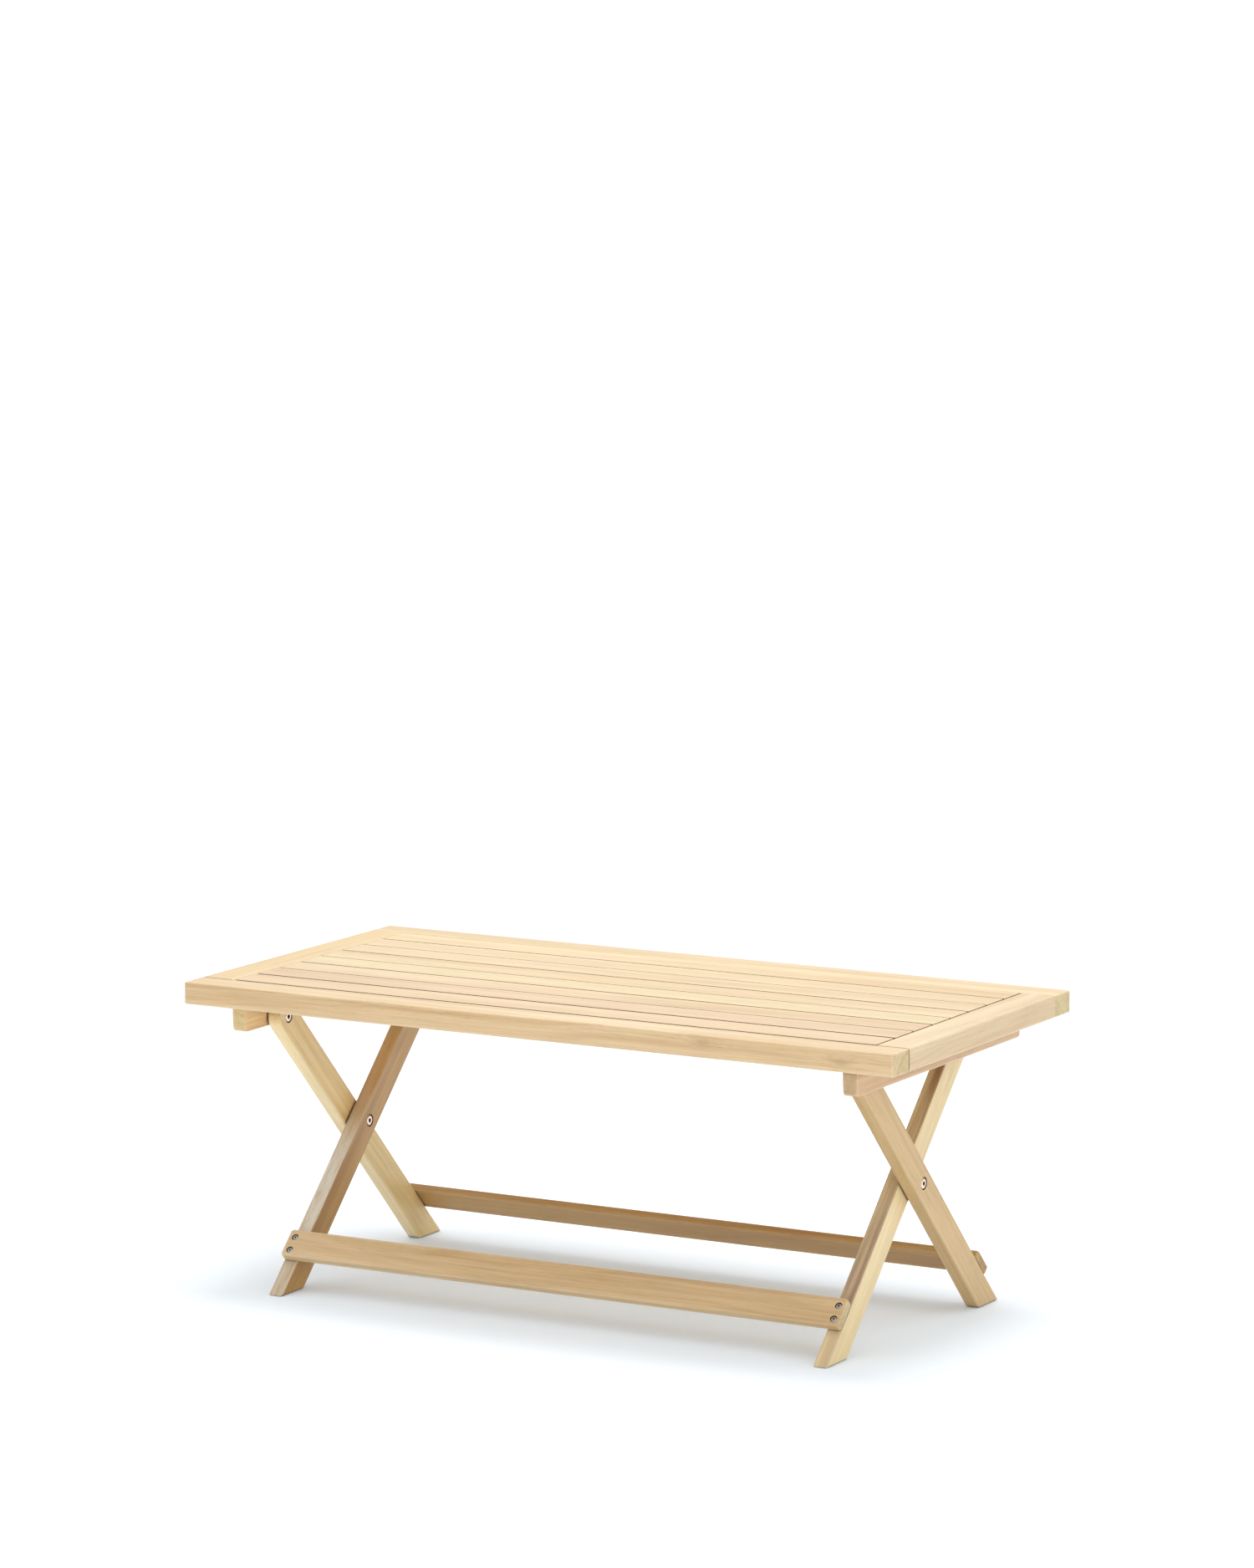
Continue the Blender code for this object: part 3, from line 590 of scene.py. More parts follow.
def frame_matrix(centre, grain, across):
    """X along the grain, Y across it and Z their cross product."""
    grain, across = Vector(grain).normalized(), Vector(across).normalized()
    return columns_matrix(grain, across, grain.cross(across), centre)


def grain_x_matrix(centre):
    return frame_matrix(centre, grain=(1, 0, 0), across=(0, 1, 0))


def grain_y_matrix(centre):
    return frame_matrix(centre, grain=(0, 1, 0), across=(-1, 0, 0))


def turn_to(point, direction):
    """Puts Z along the direction and the origin at the point."""
    turn = Vector((0, 0, 1)).rotation_difference(Vector(direction))
    return Matrix.Translation(Vector(point)) @ turn.to_matrix().to_4x4()


def box_bm(corner, opposite):
    bm = bmesh.new()
    bmesh.ops.create_cube(bm, size=1.0)
    corner, opposite = Vector(corner), Vector(opposite)
    size = [abs(d) for d in opposite - corner]
    bm.transform(Matrix.Translation((corner + opposite) / 2) @ Matrix.Diagonal((*size, 1.0)))
    return bm


def prism_bm(outline, axis, low, high):
    """An outline in the two other axes, extruded along the axis."""
    bm = bmesh.new()

    def place(a, b):
        point = [a, b]
        point.insert(axis, low)
        return Vector(point)

    face = bm.faces.new([bm.verts.new(place(a, b)) for a, b in outline])
    grown = bmesh.ops.extrude_face_region(bm, geom=[face])["geom"]
    shift = Vector((0, 0, 0))
    shift[axis] = high - low
    verts = [item for item in grown if isinstance(item, bmesh.types.BMVert)]
    bmesh.ops.translate(bm, verts=verts, vec=shift)
    bmesh.ops.recalc_face_normals(bm, faces=bm.faces)
    return bm


def soften(bm, width, segments=4, test=None):
    bm.normal_update()
    edges = [edge for edge in bm.edges if test is None or test(edge)]
    bmesh.ops.bevel(
        bm, geom=edges, offset=width, offset_type="OFFSET", segments=segments,
        profile=0.5, affect="EDGES", clamp_overlap=True,
    )


def runs_along(edge, axis):
    return abs((edge.verts[1].co - edge.verts[0].co).normalized()[axis]) > 0.99


def keeps(edge, axis):
    """Whether both ends of the edge have the same coordinate on the axis."""
    return abs(edge.verts[0].co[axis] - edge.verts[1].co[axis]) < 1e-6


def circle_angles(segments):
    return [2 * math.pi * i / segments for i in range(segments)]


def bridge(bm, one, two):
    count = len(one)
    for i in range(count):
        j = (i + 1) % count
        bm.faces.new((one[i], one[j], two[j], two[i]))


def turned_bm(rings, segments):
    """A turned solid about Z from (z, radius, sides) rings: 6 sides for a hexagon,
    0 for a circle."""
    bm = bmesh.new()
    loops = []
    for z, radius, sides in rings:
        loop = []
        for angle in circle_angles(segments):
            r = radius
            if sides:
                half = math.pi / sides
                r = radius * math.cos(half) / math.cos((angle % (2 * half)) - half)
            loop.append(bm.verts.new((r * math.cos(angle), r * math.sin(angle), z)))
        loops.append(loop)
    for loop, z in ((loops[0], rings[0][0]), (loops[-1], rings[-1][0])):
        middle = bm.verts.new((0, 0, z))
        for i in range(segments):
            bm.faces.new((loop[i], loop[(i + 1) % segments], middle))
    for one, two in zip(loops, loops[1:]):
        bridge(bm, one, two)
    bmesh.ops.recalc_face_normals(bm, faces=bm.faces)
    return bm


def ring_bm(profile, segments):
    """A closed profile of (radius, z) points swept about Z."""
    bm = bmesh.new()
    loops = [
        [bm.verts.new((r * math.cos(angle), r * math.sin(angle), z))
         for angle in circle_angles(segments)]
        for r, z in profile
    ]
    for one, two in zip(loops, loops[1:] + loops[:1]):
        bridge(bm, one, two)
    bmesh.ops.recalc_face_normals(bm, faces=bm.faces)
    return bm


def raw_object(name, bm, matrix):
    mesh = bpy.data.meshes.new(name)
    bm.to_mesh(mesh)
    bm.free()
    made = bpy.data.objects.new(name, mesh)
    bpy.context.scene.collection.objects.link(made)
    made.matrix_world = matrix
    return made


def cut(obj, tools, operation="DIFFERENCE"):
    """Cuts each tool, a mesh in world coordinates, out of the object, or joins it on."""
    made = []
    for i, bm in enumerate(tools):
        tool = raw_object(f"tool_{i}", bm, Matrix.Identity(4))
        made.append(tool)
        mod = obj.modifiers.new(tool.name, "BOOLEAN")
        mod.operation, mod.solver, mod.object = operation, "EXACT", tool
    bpy.context.view_layer.update()
    graph = bpy.context.evaluated_depsgraph_get()
    fresh = bpy.data.meshes.new_from_object(obj.evaluated_get(graph))
    obj.modifiers.clear()
    old = obj.data
    obj.data = fresh
    bpy.data.meshes.remove(old)
    for tool in made:
        mesh = tool.data
        bpy.data.objects.remove(tool)
        bpy.data.meshes.remove(mesh)


def hole(point, direction, radius, depth, segments=32):
    bm = turned_bm([(-OVERCUT, radius, 0), (depth, radius, 0)], segments)
    bm.transform(turn_to(point, direction))
    return bm


def seat(point, direction, radius, depth):
    """A flat-bottomed seat whose rim is eased."""
    ease = 0.0004
    rings = [(-OVERCUT, radius + ease + 0.001, 0), (-0.00001, radius + ease, 0),
             (ease, radius, 0), (depth, radius, 0)]
    bm = turned_bm(rings, 40)
    bm.transform(turn_to(point, direction))
    return bm


def pilot(point, direction, depth):
    return hole(point, direction, PILOT_RADIUS, depth, 16)


def screw_hole(point, direction, depth):
    return [seat(point, direction, SCREW_SEAT, SCREW_SEAT_DEPTH),
            pilot(point, direction, depth)]


def bolt_hole(point, direction, radius):
    return [seat(point, direction, BOLT_SEAT, BOLT_SEAT_DEPTH),
            hole(point, direction, radius, depth=0.024)]


def register(obj, node):
    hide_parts(node)
    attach(obj, BODY[node])


def finish_timber(obj, node, half, shade, **looks):
    obj.data.materials.clear()
    obj.data.materials.append(timber(node + "_timber", half, shade, **looks))
    obj.data.shade_smooth()
    obj.data.set_sharp_from_angle(angle=math.radians(32))
    mod = obj.modifiers.new("normals", "WEIGHTED_NORMAL")
    mod.keep_sharp = True
    mod.weight = 60
    register(obj, node)


# ================================================================= the top
LONG_RAILS = (
    ("front_rail", -1, dict(
        shade=(0.985, 0.965, 0.965), Seed=1.3, Pith=(0.010, 0.045, -0.050), Streaks=0.20,
        Contrast=1.35, Knot=(0.245, -0.0225, 0.0060), Knot2=(0.430, -0.0222, -0.0010))),
    ("back_rail", 1, dict(
        shade=(0.990, 1.010, 1.020), Seed=4.1, Pith=(-0.008, -0.05, -0.045), Streaks=0.15,
        Contrast=0.9, Knot=(-0.21, 0.0225, 0.004))),
)
# side, name, shade, seed
END_RAILS = (
    (-1, "left_end_rail", (0.945, 0.970, 0.960), 7.7),
    (1, "right_end_rail", (0.930, 0.975, 1.080), 9.2),
)
# shade, seed, streaks, from slat_1 to slat_8
SLATS = (
    ((0.940, 0.903, 0.912), 2.1, 0.10), ((0.945, 0.916, 0.970), 5.6, 0.14),
    ((0.958, 0.940, 0.968), 8.4, 0.10), ((0.943, 0.980, 0.961), 11.9, 0.08),
    ((0.976, 0.976, 0.988), 3.3, 0.10), ((0.961, 0.956, 0.973), 14.2, 0.08),
    ((0.969, 0.974, 0.986), 6.5, 0.12), ((1.000, 1.010, 1.020), 17.8, 0.08),
)
RAIL_EASE = 0.0024


def long_rail(node, side, looks):
    """A front or back rail, with a mortise and a screw hole at each end."""
    box = extent(node)
    bm = box_bm(-box.half, box.half)
    soften(bm, RAIL_EASE)
    obj = raw_object(node + "_board", bm, grain_x_matrix(box.mid))
    half_width, half_thick = TENON_WIDTH / 2 + GAP, TENON_HALF + GAP
    mortise_depth = TENON_LENGTH + 0.0006
    tools = []
    for end in (-1, 1):
        x = end * END_RAIL_X
        tools.append(box_bm(
            (x - half_width, side * (IN_Y - OVERCUT), TENON_Z - half_thick),
            (x + half_width, side * (IN_Y + mortise_depth), TENON_Z + half_thick)))
        screw = (end * extent("right_bearer").mid.x, side * BEARER_SCREW_Y, RAIL_BOTTOM)
        tools.append(pilot(screw, (0, 0, 1), depth=0.019))
    cut(obj, tools)
    finish_timber(obj, node, box.half, Bleach=1.0, **looks)


def end_rail(side, node, shade, seed):
    """A rail between the long rails, tenoned at both ends and grooved inside."""
    mid, half, *_ = extent(node)
    reach = IN_Y - GAP
    groove_half, groove_depth = TONGUE_HALF + GAP, 0.0084
    bm = box_bm((-reach, -half.x, -half.z), (reach, half.x, half.z))
    soften(bm, RAIL_EASE, test=lambda edge: runs_along(edge, 0))
    obj = raw_object(node + "_board", bm, grain_y_matrix((mid.x, 0, mid.z)))
    x = side * END_RAIL_X
    cut(obj, [
        box_bm((x - TENON_WIDTH / 2, end * (reach - 0.004), TENON_Z - TENON_HALF),
               (x + TENON_WIDTH / 2, end * (reach + TENON_LENGTH), TENON_Z + TENON_HALF))
        for end in (-1, 1)
    ], "UNION")
    groove_z = (SLAT_BOTTOM + TOP_Z) / 2
    cut(obj, [box_bm(
        (side * (IN_X - OVERCUT), -reach - OVERCUT, groove_z - groove_half),
        (side * (IN_X + groove_depth), reach + OVERCUT, groove_z + groove_half))])
    # longer than the board, so its ends show no rubbed edges
    finish_timber(obj, node, (reach + 0.1, half.x, half.z), shade, Bleach=0.6,
                  Streaks=0.12, Contrast=0.8, Seed=seed, Pith=(0.012 * side, 0.07, -0.06))


def slat(i, shade, seed, streaks):
    """A slat with a tongue at each end."""
    node = f"slat_{i + 1}"
    mid, half, *_ = extent(node)
    shoulder = IN_X - 0.0022
    outline = [
        (-shoulder, -half.z), (shoulder, -half.z), (shoulder, -TONGUE_HALF),
        (half.x, -TONGUE_HALF), (half.x, TONGUE_HALF), (shoulder, TONGUE_HALF),
        (shoulder, half.z), (-shoulder, half.z), (-shoulder, TONGUE_HALF),
        (-half.x, TONGUE_HALF), (-half.x, -TONGUE_HALF), (-shoulder, -TONGUE_HALF),
    ]
    bm = prism_bm(outline, 1, -half.y, half.y)
    soften(bm, 0.0009, 3,
           lambda edge: all(abs(abs(v.co.z) - half.z) < 1e-6 for v in edge.verts))
    obj = raw_object(node + "_board", bm, grain_x_matrix(mid))
    if node in SCREWED_SLATS:
        x = extent("right_batten").mid.x
        cut(obj, [pilot((end * x, mid.y, SLAT_BOTTOM), (0, 0, 1), depth=0.010)
                  for end in (-1, 1)])
    # the pith moves from slat to slat
    pith = (0.006 * (-1) ** i, 0.03 * (-1) ** (i // 2), -0.035 - 0.008 * (i % 3))
    finish_timber(obj, node, (shoulder, half.y, half.z), shade, Bleach=1.0, Sides=0.9,
                  Streaks=streaks, Contrast=0.85, Seed=seed, Pith=pith)


# ======================================================= under the top
# side, name, shade, seed
BEARERS = (
    (-1, "left_bearer", (1.20, 1.17, 1.08), 21.0),
    # the right bearer's darker shade is painted shadow of the top
    (1, "right_bearer", (0.90, 0.825, 0.84), 23.5),
)
# seeds of the batten and the catch block on each side
BATTEN_SEEDS = {"left": (31.0, 36.5), "right": (33.0, 38.5)}
UNDER_EASE = 0.0016


def bearer_outline(box):
    """(y, z) points: notched up between the rails, its lower corners rounded."""
    radius = 0.006
    outline = []
    for sign in (-1, 1):
        points = [
            (sign * (IN_Y - 0.001), box.high.z),
            (sign * (IN_Y - 0.001), RAIL_BOTTOM - GAP),
            (sign * box.high.y, RAIL_BOTTOM - GAP),
        ]
        for s in range(9):
            angle = math.radians(90 * s / 8)
            points.append((sign * (box.high.y - radius + radius * math.cos(angle)),
                           box.low.z + radius - radius * math.sin(angle)))
        outline += points if sign < 0 else points[::-1]
    return outline


def bearer(side, node, shade, seed):
    box = extent(node)
    mid, half = box.mid, box.half
    bm = prism_bm([(y, z - mid.z) for y, z in bearer_outline(box)], 1, -half.x, half.x)
    soften(bm, UNDER_EASE, 3, lambda edge: keeps(edge, 1) and all(
        v.co.z + mid.z < RAIL_BOTTOM - 0.001 for v in edge.verts))
    obj = raw_object(node + "_board", bm, grain_y_matrix((mid.x, 0, mid.z)))
    tools = [hole((inner_x(node, side), P_TOP.y, P_TOP.z), (side, 0, 0),
                  INSERT_RADIUS + GAP, depth=0.014)]
    for end in (-1, 1):
        tools += screw_hole((mid.x, end * BEARER_SCREW_Y, box.low.z), (0, 0, 1), depth=0.040)
    cut(obj, tools)
    finish_timber(obj, node, half.yxz, shade, Streaks=0.22, Contrast=1.0, Seed=seed,
                  Pith=(0.01, 0.012, -0.09))


def cross_board(node):
    """A plain softened board with its grain along Y."""
    box = extent(node)
    bm = box_bm(-box.half.yxz, box.half.yxz)
    soften(bm, UNDER_EASE, 3)
    return box, raw_object(node + "_board", bm, grain_y_matrix(box.mid))


def batten(word, seed):
    """The board across the slats that carries a catch block."""
    node = f"{word}_batten"
    (mid, half, low, _), obj = cross_board(node)
    tools = []
    for near in SCREWED_SLATS:
        tools += screw_hole((mid.x, extent(near).mid.y, low.z), (0, 0, 1), depth=0.016)
    for end in (-1, 1):
        point = (mid.x, BAR.mid.y + end * CATCH_SCREW_REACH, low.z)
        tools.append(pilot(point, (0, 0, 1), depth=0.0102))
    cut(obj, tools)
    finish_timber(obj, node, half.yxz, (0.93, 0.90, 0.88), Streaks=0.25, Contrast=1.0,
                  Seed=seed, Pith=(0.008, 0.03, -0.06))


def catch_block(word, seed):
    """The block whose round groove takes the crossbar."""
    node = f"{word}_catch_block"
    groove_radius, groove_z, groove_reach = 0.0125, 0.356, 0.03
    (mid, half, low, _), obj = cross_board(node)
    groove = turned_bm([(z, groove_radius, 0) for z in (-groove_reach, groove_reach)], 64)
    groove.transform(turn_to((mid.x, BAR.mid.y, groove_z), (1, 0, 0)))
    tools = [groove]
    for end in (-1, 1):
        point = (mid.x, BAR.mid.y + end * CATCH_SCREW_REACH, low.z)
        tools += screw_hole(point, (0, 0, 1), depth=0.012)
    cut(obj, tools)
    finish_timber(obj, node, half.yxz, (0.88, 0.84, 0.80), Streaks=0.3, Contrast=1.1,
                  Seed=seed, Pith=(0.0, 0.02, -0.03))


# ==================================================================== legs
# name, lean in Y going up (1 to the back, -1 to the front), side, looks
LEGS = (
    ("outer_leg_left", -1, -1, dict(
        shade=(1.160, 1.220, 1.090), Seed=41.0, Streaks=0.20, Contrast=1.0,
        Tint=srgb(240, 217, 172), TintUp=0.5, TintDown=0.7,
        LowMul=(0.84, 0.83, 0.78, 1), Pith=(0.012, 0.03, -0.05))),
    ("outer_leg_right", -1, 1, dict(
        shade=(0.825, 0.775, 0.645), Seed=45.5, Streaks=0.26, Contrast=1.1,
        Tint=srgb(166, 128, 78), TintUp=0.3, TintDown=0.15, Pith=(-0.010, -0.03, -0.06))),
    ("inner_leg_left", 1, -1, dict(
        shade=(0.82, 0.72, 0.53), Seed=52.3, Streaks=0.55, Contrast=1.3,
        Tint=srgb(196, 156, 104), TintUp=0.6, LowMul=(0.79, 0.72, 0.52, 1),
        Pith=(0.014, 0.006, -0.05), Weather=1.0)),
    ("inner_leg_right", 1, 1, dict(
        shade=(1.12, 1.24, 1.28), Seed=57.9, Streaks=0.12, Contrast=0.9,
        Tint=srgb(138, 98, 58), TintUp=1.0, Pith=(-0.012, 0.025, -0.05), Weather=0.22)),
)
# name, lean of its legs, reach of its edges up the legs, seed, streaks, shade
STRETCHERS = (
    ("front_stretcher", 1, (0.0345, 0.0745), 61.0, 0.55, (0.91, 0.915, 0.93)),
    ("back_stretcher", -1, (0.0355, 0.0745), 66.0, 0.35, (0.685, 0.565, 0.380)),
)


def leg_axes(lean):
    """Along the leg going up, and out of its upper side."""
    return (Vector((0, lean * ROOT_HALF, ROOT_HALF)),
            Vector((0, -lean * ROOT_HALF, ROOT_HALF)))


def on_leg(lean, reach, off):
    """The (y, z) at a reach up the leg and a distance off its middle line."""
    return (-lean * FOOT_Y + lean * ROOT_HALF * (reach - off), ROOT_HALF * (reach + off))


def leg_outline(lean, top_y, top_z):
    """(y, z) points: a foot cut level with the floor and a half-round top."""
    foot_y, half = -lean * FOOT_Y, LEG_WIDTH / 2
    foot = half / ROOT_HALF
    points = [(foot_y - foot, 0.0), (foot_y + foot, 0.0)]
    start = math.atan2(-lean * ROOT_HALF, ROOT_HALF)
    for i in range(25):
        angle = start + math.pi * i / 24
        points.append((top_y + half * math.cos(angle), top_z + half * math.sin(angle)))
    return points


def leg_holes(node, lean, side):
    """Two bolt seats in an outer leg; one and the crossbar's screw in an inner one."""
    inner, outer = inner_x(node, side), outer_x(node, side)
    outward, inward = (side, 0, 0), (-side, 0, 0)
    if lean < 0:
        return (bolt_hole((inner, P_TOP.y, P_TOP.z), outward, BOLT_HOLE)
                + bolt_hole((outer, P_CROSS.y, P_CROSS.z), inward, SLEEVE_HOLE))
    return (bolt_hole((inner, P_CROSS.y, P_CROSS.z), outward, SLEEVE_HOLE)
            + screw_hole((outer, BAR.mid.y, BAR.mid.z), inward, depth=0.024))


def leg(node, lean, side, looks):
    box = extent(node)
    top = P_TOP if lean < 0 else BAR.mid
    grain, up = leg_axes(lean)
    middle = Vector((box.mid.x, P_CROSS.y, P_CROSS.z))
    matrix = frame_matrix(middle, grain, up)
    bm = prism_bm(leg_outline(lean, top.y, top.z), 0, box.low.x, box.high.x)
    bm.transform(matrix.inverted())
    # the edges of both broad faces, and those of the foot
    soften(bm, 0.0028, test=lambda edge: keeps(edge, 2) or all(
        (matrix @ v.co).z < 1e-6 for v in edge.verts))
    obj = raw_object(node + "_board", bm, matrix)
    tools = leg_holes(node, lean, side)
    for reach in SCREW_REACH.values():
        y, z = on_leg(lean, reach, LEG_WIDTH / 2)
        tools.append(pilot((box.mid.x, y, z), -up, depth=0.022))
    cut(obj, tools)
    # the leg's own frame goes to its timber, so that its mesh can stay square to the world
    obj.data.transform(matrix)
    obj.matrix_world = Matrix.Identity(4)
    axes = {f"Axis{letter}": tuple(matrix.col[i][:3]) for i, letter in enumerate("XYZ")}
    bores = (BORE_REACH if lean < 0 else 0, 0, 0)
    finish_timber(obj, node, (0.30, LEG_WIDTH / 2, box.half.x), BoreR=BOLT_SEAT,
                  Origin=tuple(middle), Bores=bores, BoreMid=bores, **axes, **looks)


def leg_x(lean):
    return abs(extent("inner_leg_left" if lean > 0 else "outer_leg_left").mid.x)


def stretcher(node, lean, span, seed, streaks, shade):
    """A board screwed across the upper sides of two legs near their feet."""
    grain, up = leg_axes(lean)
    thick = STRETCHER_THICK - GAP
    y, z = on_leg(lean, sum(span) / 2, LEG_WIDTH / 2 + GAP + thick / 2)
    half = Vector((extent(node).half.x, (span[1] - span[0]) / 2, thick / 2))
    bm = box_bm(-half, half)
    # corners of the face first, then the edges round both faces
    soften(bm, 0.0042, 5, lambda edge: runs_along(edge, 2))
    soften(bm, 0.0022, test=lambda edge: keeps(edge, 2))
    obj = raw_object(node + "_board", bm, frame_matrix((0, y, z), (1, 0, 0), lean * grain))
    tools = []
    for side in (-1, 1):
        for reach in SCREW_REACH.values():
            y, z = on_leg(lean, reach, LEG_WIDTH / 2 + STRETCHER_THICK)
            tools += screw_hole((side * leg_x(lean), y, z), -up, depth=0.016)
    cut(obj, tools)
    low, high = SCREW_REACH.values()
    finish_timber(
        obj, node, half, shade, BoreR=SCREW_SEAT, Bores=(leg_x(lean), (high - low) / 2, 0),
        BoreMid=(0, lean * (low + high - sum(span)) / 2, 0), Streaks=streaks,
        Contrast=1.45, Seed=seed, Pith=(0.016, 0.010, -0.055))


def crossbar():
    """A dowel along X with rounded ends."""
    ease, flat = 0.0012, 0.0098  # the rounding, and the radius of the flat end
    ends = [(-BAR.half.x, flat, 0)]
    for s in range(7):
        angle = math.radians(90 * s / 6)
        ends.append((-BAR.half.x + ease * (1 - math.cos(angle)),
                     flat + ease * math.sin(angle), 0))
    bm = turned_bm(ends + [(-z, radius, sides) for z, radius, sides in reversed(ends)], 48)
    bm.transform(Matrix.Rotation(math.radians(90), 4, "Y"))
    obj = raw_object("crossbar_dowel", bm, Matrix.Translation(BAR.mid))
    cut(obj, [pilot((side * BAR.half.x, BAR.mid.y, BAR.mid.z), (-side, 0, 0), depth=0.022)
              for side in (-1, 1)])
    finish_timber(obj, "crossbar", (BAR.half.x, 0.03, 0.03), (0.90, 0.88, 0.86),
                  Streaks=0.3, Contrast=1.1, Seed=71.0, Pith=(0.004, 0.02, -0.02))


# ================================================================ hardware
# Z of every turned piece runs into the wood from the surface it sits in.
def finish_metal(obj, node, material, is_dark=None):
    """Faces for which is_dark is true take the dark material of a recess."""
    obj.data.materials.append(material)
    if is_dark is not None:
        obj.data.materials.append(DARK)
        for poly in obj.data.polygons:
            if is_dark(poly):
                poly.material_index = 1
    obj.data.shade_smooth()
    obj.data.set_sharp_from_angle(angle=math.radians(38))
    register(obj, node)


def centre_radius(poly):
    return math.hypot(poly.center.x, poly.center.y)


def in_hex_socket(poly):
    return centre_radius(poly) < HEX_RADIUS * 1.02 and poly.center.z > GAP + 0.0001


def in_cross_recess(poly):
    return (centre_radius(poly) < 0.00205 and 0.0010 < poly.center.z < 0.0034
            and abs(poly.normal.z) < 0.995)


def place_bolt(name, node, rings, point, direction):
    obj = raw_object(name, turned_bm(head_rings() + rings, 48), turn_to(point, direction))
    finish_metal(obj, node, WARM, in_hex_socket)


def place_ring(name, node, bm, point, direction):
    finish_metal(raw_object(name, bm, turn_to(point, direction)), node, STEEL)


def head_rings():
    """A low round head from the bottom of its hexagon socket out over its rim."""
    crown = HEAD_RADIUS * 0.72  # the flat part of the head
    rings = [
        (GAP + HEX_DEPTH + 0.0005, HEX_RADIUS * 0.35, 0),
        (GAP + HEX_DEPTH, HEX_RADIUS * 0.96, 6),
        (GAP + 0.00035, HEX_RADIUS, 6),
        (GAP + 0.00008, HEX_RADIUS * 1.12, 6),
        (GAP, HEX_RADIUS * 1.25, 0),
        (GAP, crown, 0),
    ]
    for s in range(1, 6):
        angle = math.radians(90 * s / 5)
        rings.append((GAP + 0.0009 * (1 - math.cos(angle)),
                      crown + HEAD_RADIUS * 0.28 * math.sin(angle), 0))
    rings.append((GAP + HEAD_HEIGHT - 0.0002, HEAD_RADIUS, 0))
    rings.append((GAP + HEAD_HEIGHT, HEAD_RADIUS - 0.0002, 0))
    return rings


def shank_rings(plain_end, thread_end):
    """A plain shank, then the ridges of a machine thread as closed rings."""
    pitch, depth = 0.001, 0.00035
    rings = [(SHANK_START, SHANK_RADIUS, 0), (plain_end, SHANK_RADIUS, 0)]
    z = plain_end + 0.0002
    while z + pitch < thread_end:
        rings += [(z, SHANK_RADIUS - depth, 0), (z + pitch * 0.45, SHANK_RADIUS, 0),
                  (z + pitch * 0.60, SHANK_RADIUS, 0)]
        z += pitch
    return rings + [(thread_end, SHANK_RADIUS - depth, 0), (thread_end + 0.0008, 0.0021, 0)]


# the barrel of a sleeve nut, then its bore from the far end
SLEEVE_RINGS = [
    (SHANK_START, SLEEVE_RADIUS, 0), (0.0316, SLEEVE_RADIUS, 0), (0.0320, 0.0037, 0),
    (0.0320, BOLT_HOLE, 0), (0.0092, BOLT_HOLE, 0), (0.0088, 0.0028, 0),
]


def insert_bm():
    """A threaded insert: ridged outside, bored through."""
    groove = 0.0046
    profile = [(BOLT_HOLE, GAP), (INSERT_RADIUS, GAP)]
    z = GAP + 0.0006
    while z < 0.0118:
        profile += [(INSERT_RADIUS, z), (groove, z + 0.0004), (groove, z + 0.0008),
                    (INSERT_RADIUS, z + 0.0012)]
        z += 0.0016
    profile += [(INSERT_RADIUS, INSERT_LENGTH - 0.0002),
                (INSERT_RADIUS - 0.0002, INSERT_LENGTH), (BOLT_HOLE, INSERT_LENGTH)]
    return ring_bm(profile, 36)


def washer_bm(bore):
    half, ease, rim = 0.0007, 0.00025, WASHER_RADIUS
    return ring_bm([
        (bore + ease, -half), (rim - ease, -half), (rim, -half + ease), (rim, half - ease),
        (rim - ease, half), (bore + ease, half), (bore, half - ease), (bore, -half + ease),
    ], 48)


def pivots(side, word):
    """The bolts, inserts, nuts and washers of one side."""
    outward, inward = (side, 0, 0), (-side, 0, 0)
    outer_leg, inner_leg = f"outer_leg_{word}", f"inner_leg_{word}"
    bearer_face = inner_x(f"{word}_bearer", side)

    def at_top(x):
        return (x, P_TOP.y, P_TOP.z)

    def at_cross(x):
        return (x, P_CROSS.y, P_CROSS.z)

    place_bolt(f"top_bolt_{word}", f"top_pivot_bolt_{word}", shank_rings(0.0160, 0.0340),
               at_top(inner_x(outer_leg, side)), outward)
    place_ring(f"insert_{word}", f"top_pivot_insert_{word}", insert_bm(),
               at_top(bearer_face), outward)
    place_ring(f"top_washer_{word}", f"top_pivot_washer_{word}", washer_bm(0.0034),
               at_top((outer_x(outer_leg, side) + bearer_face) / 2), outward)
    place_bolt(f"cross_bolt_{word}", f"cross_pivot_bolt_{word}",
               shank_rings(0.0140, 0.0300), at_cross(inner_x(inner_leg, side)), outward)
    place_bolt(f"sleeve_nut_{word}", f"cross_pivot_sleeve_nut_{word}", SLEEVE_RINGS,
               at_cross(outer_x(outer_leg, side)), inward)
    node = f"cross_pivot_washer_{word}"
    place_ring(f"cross_washer_{word}", node, washer_bm(0.0044),
               at_cross(extent(node).mid.x), outward)


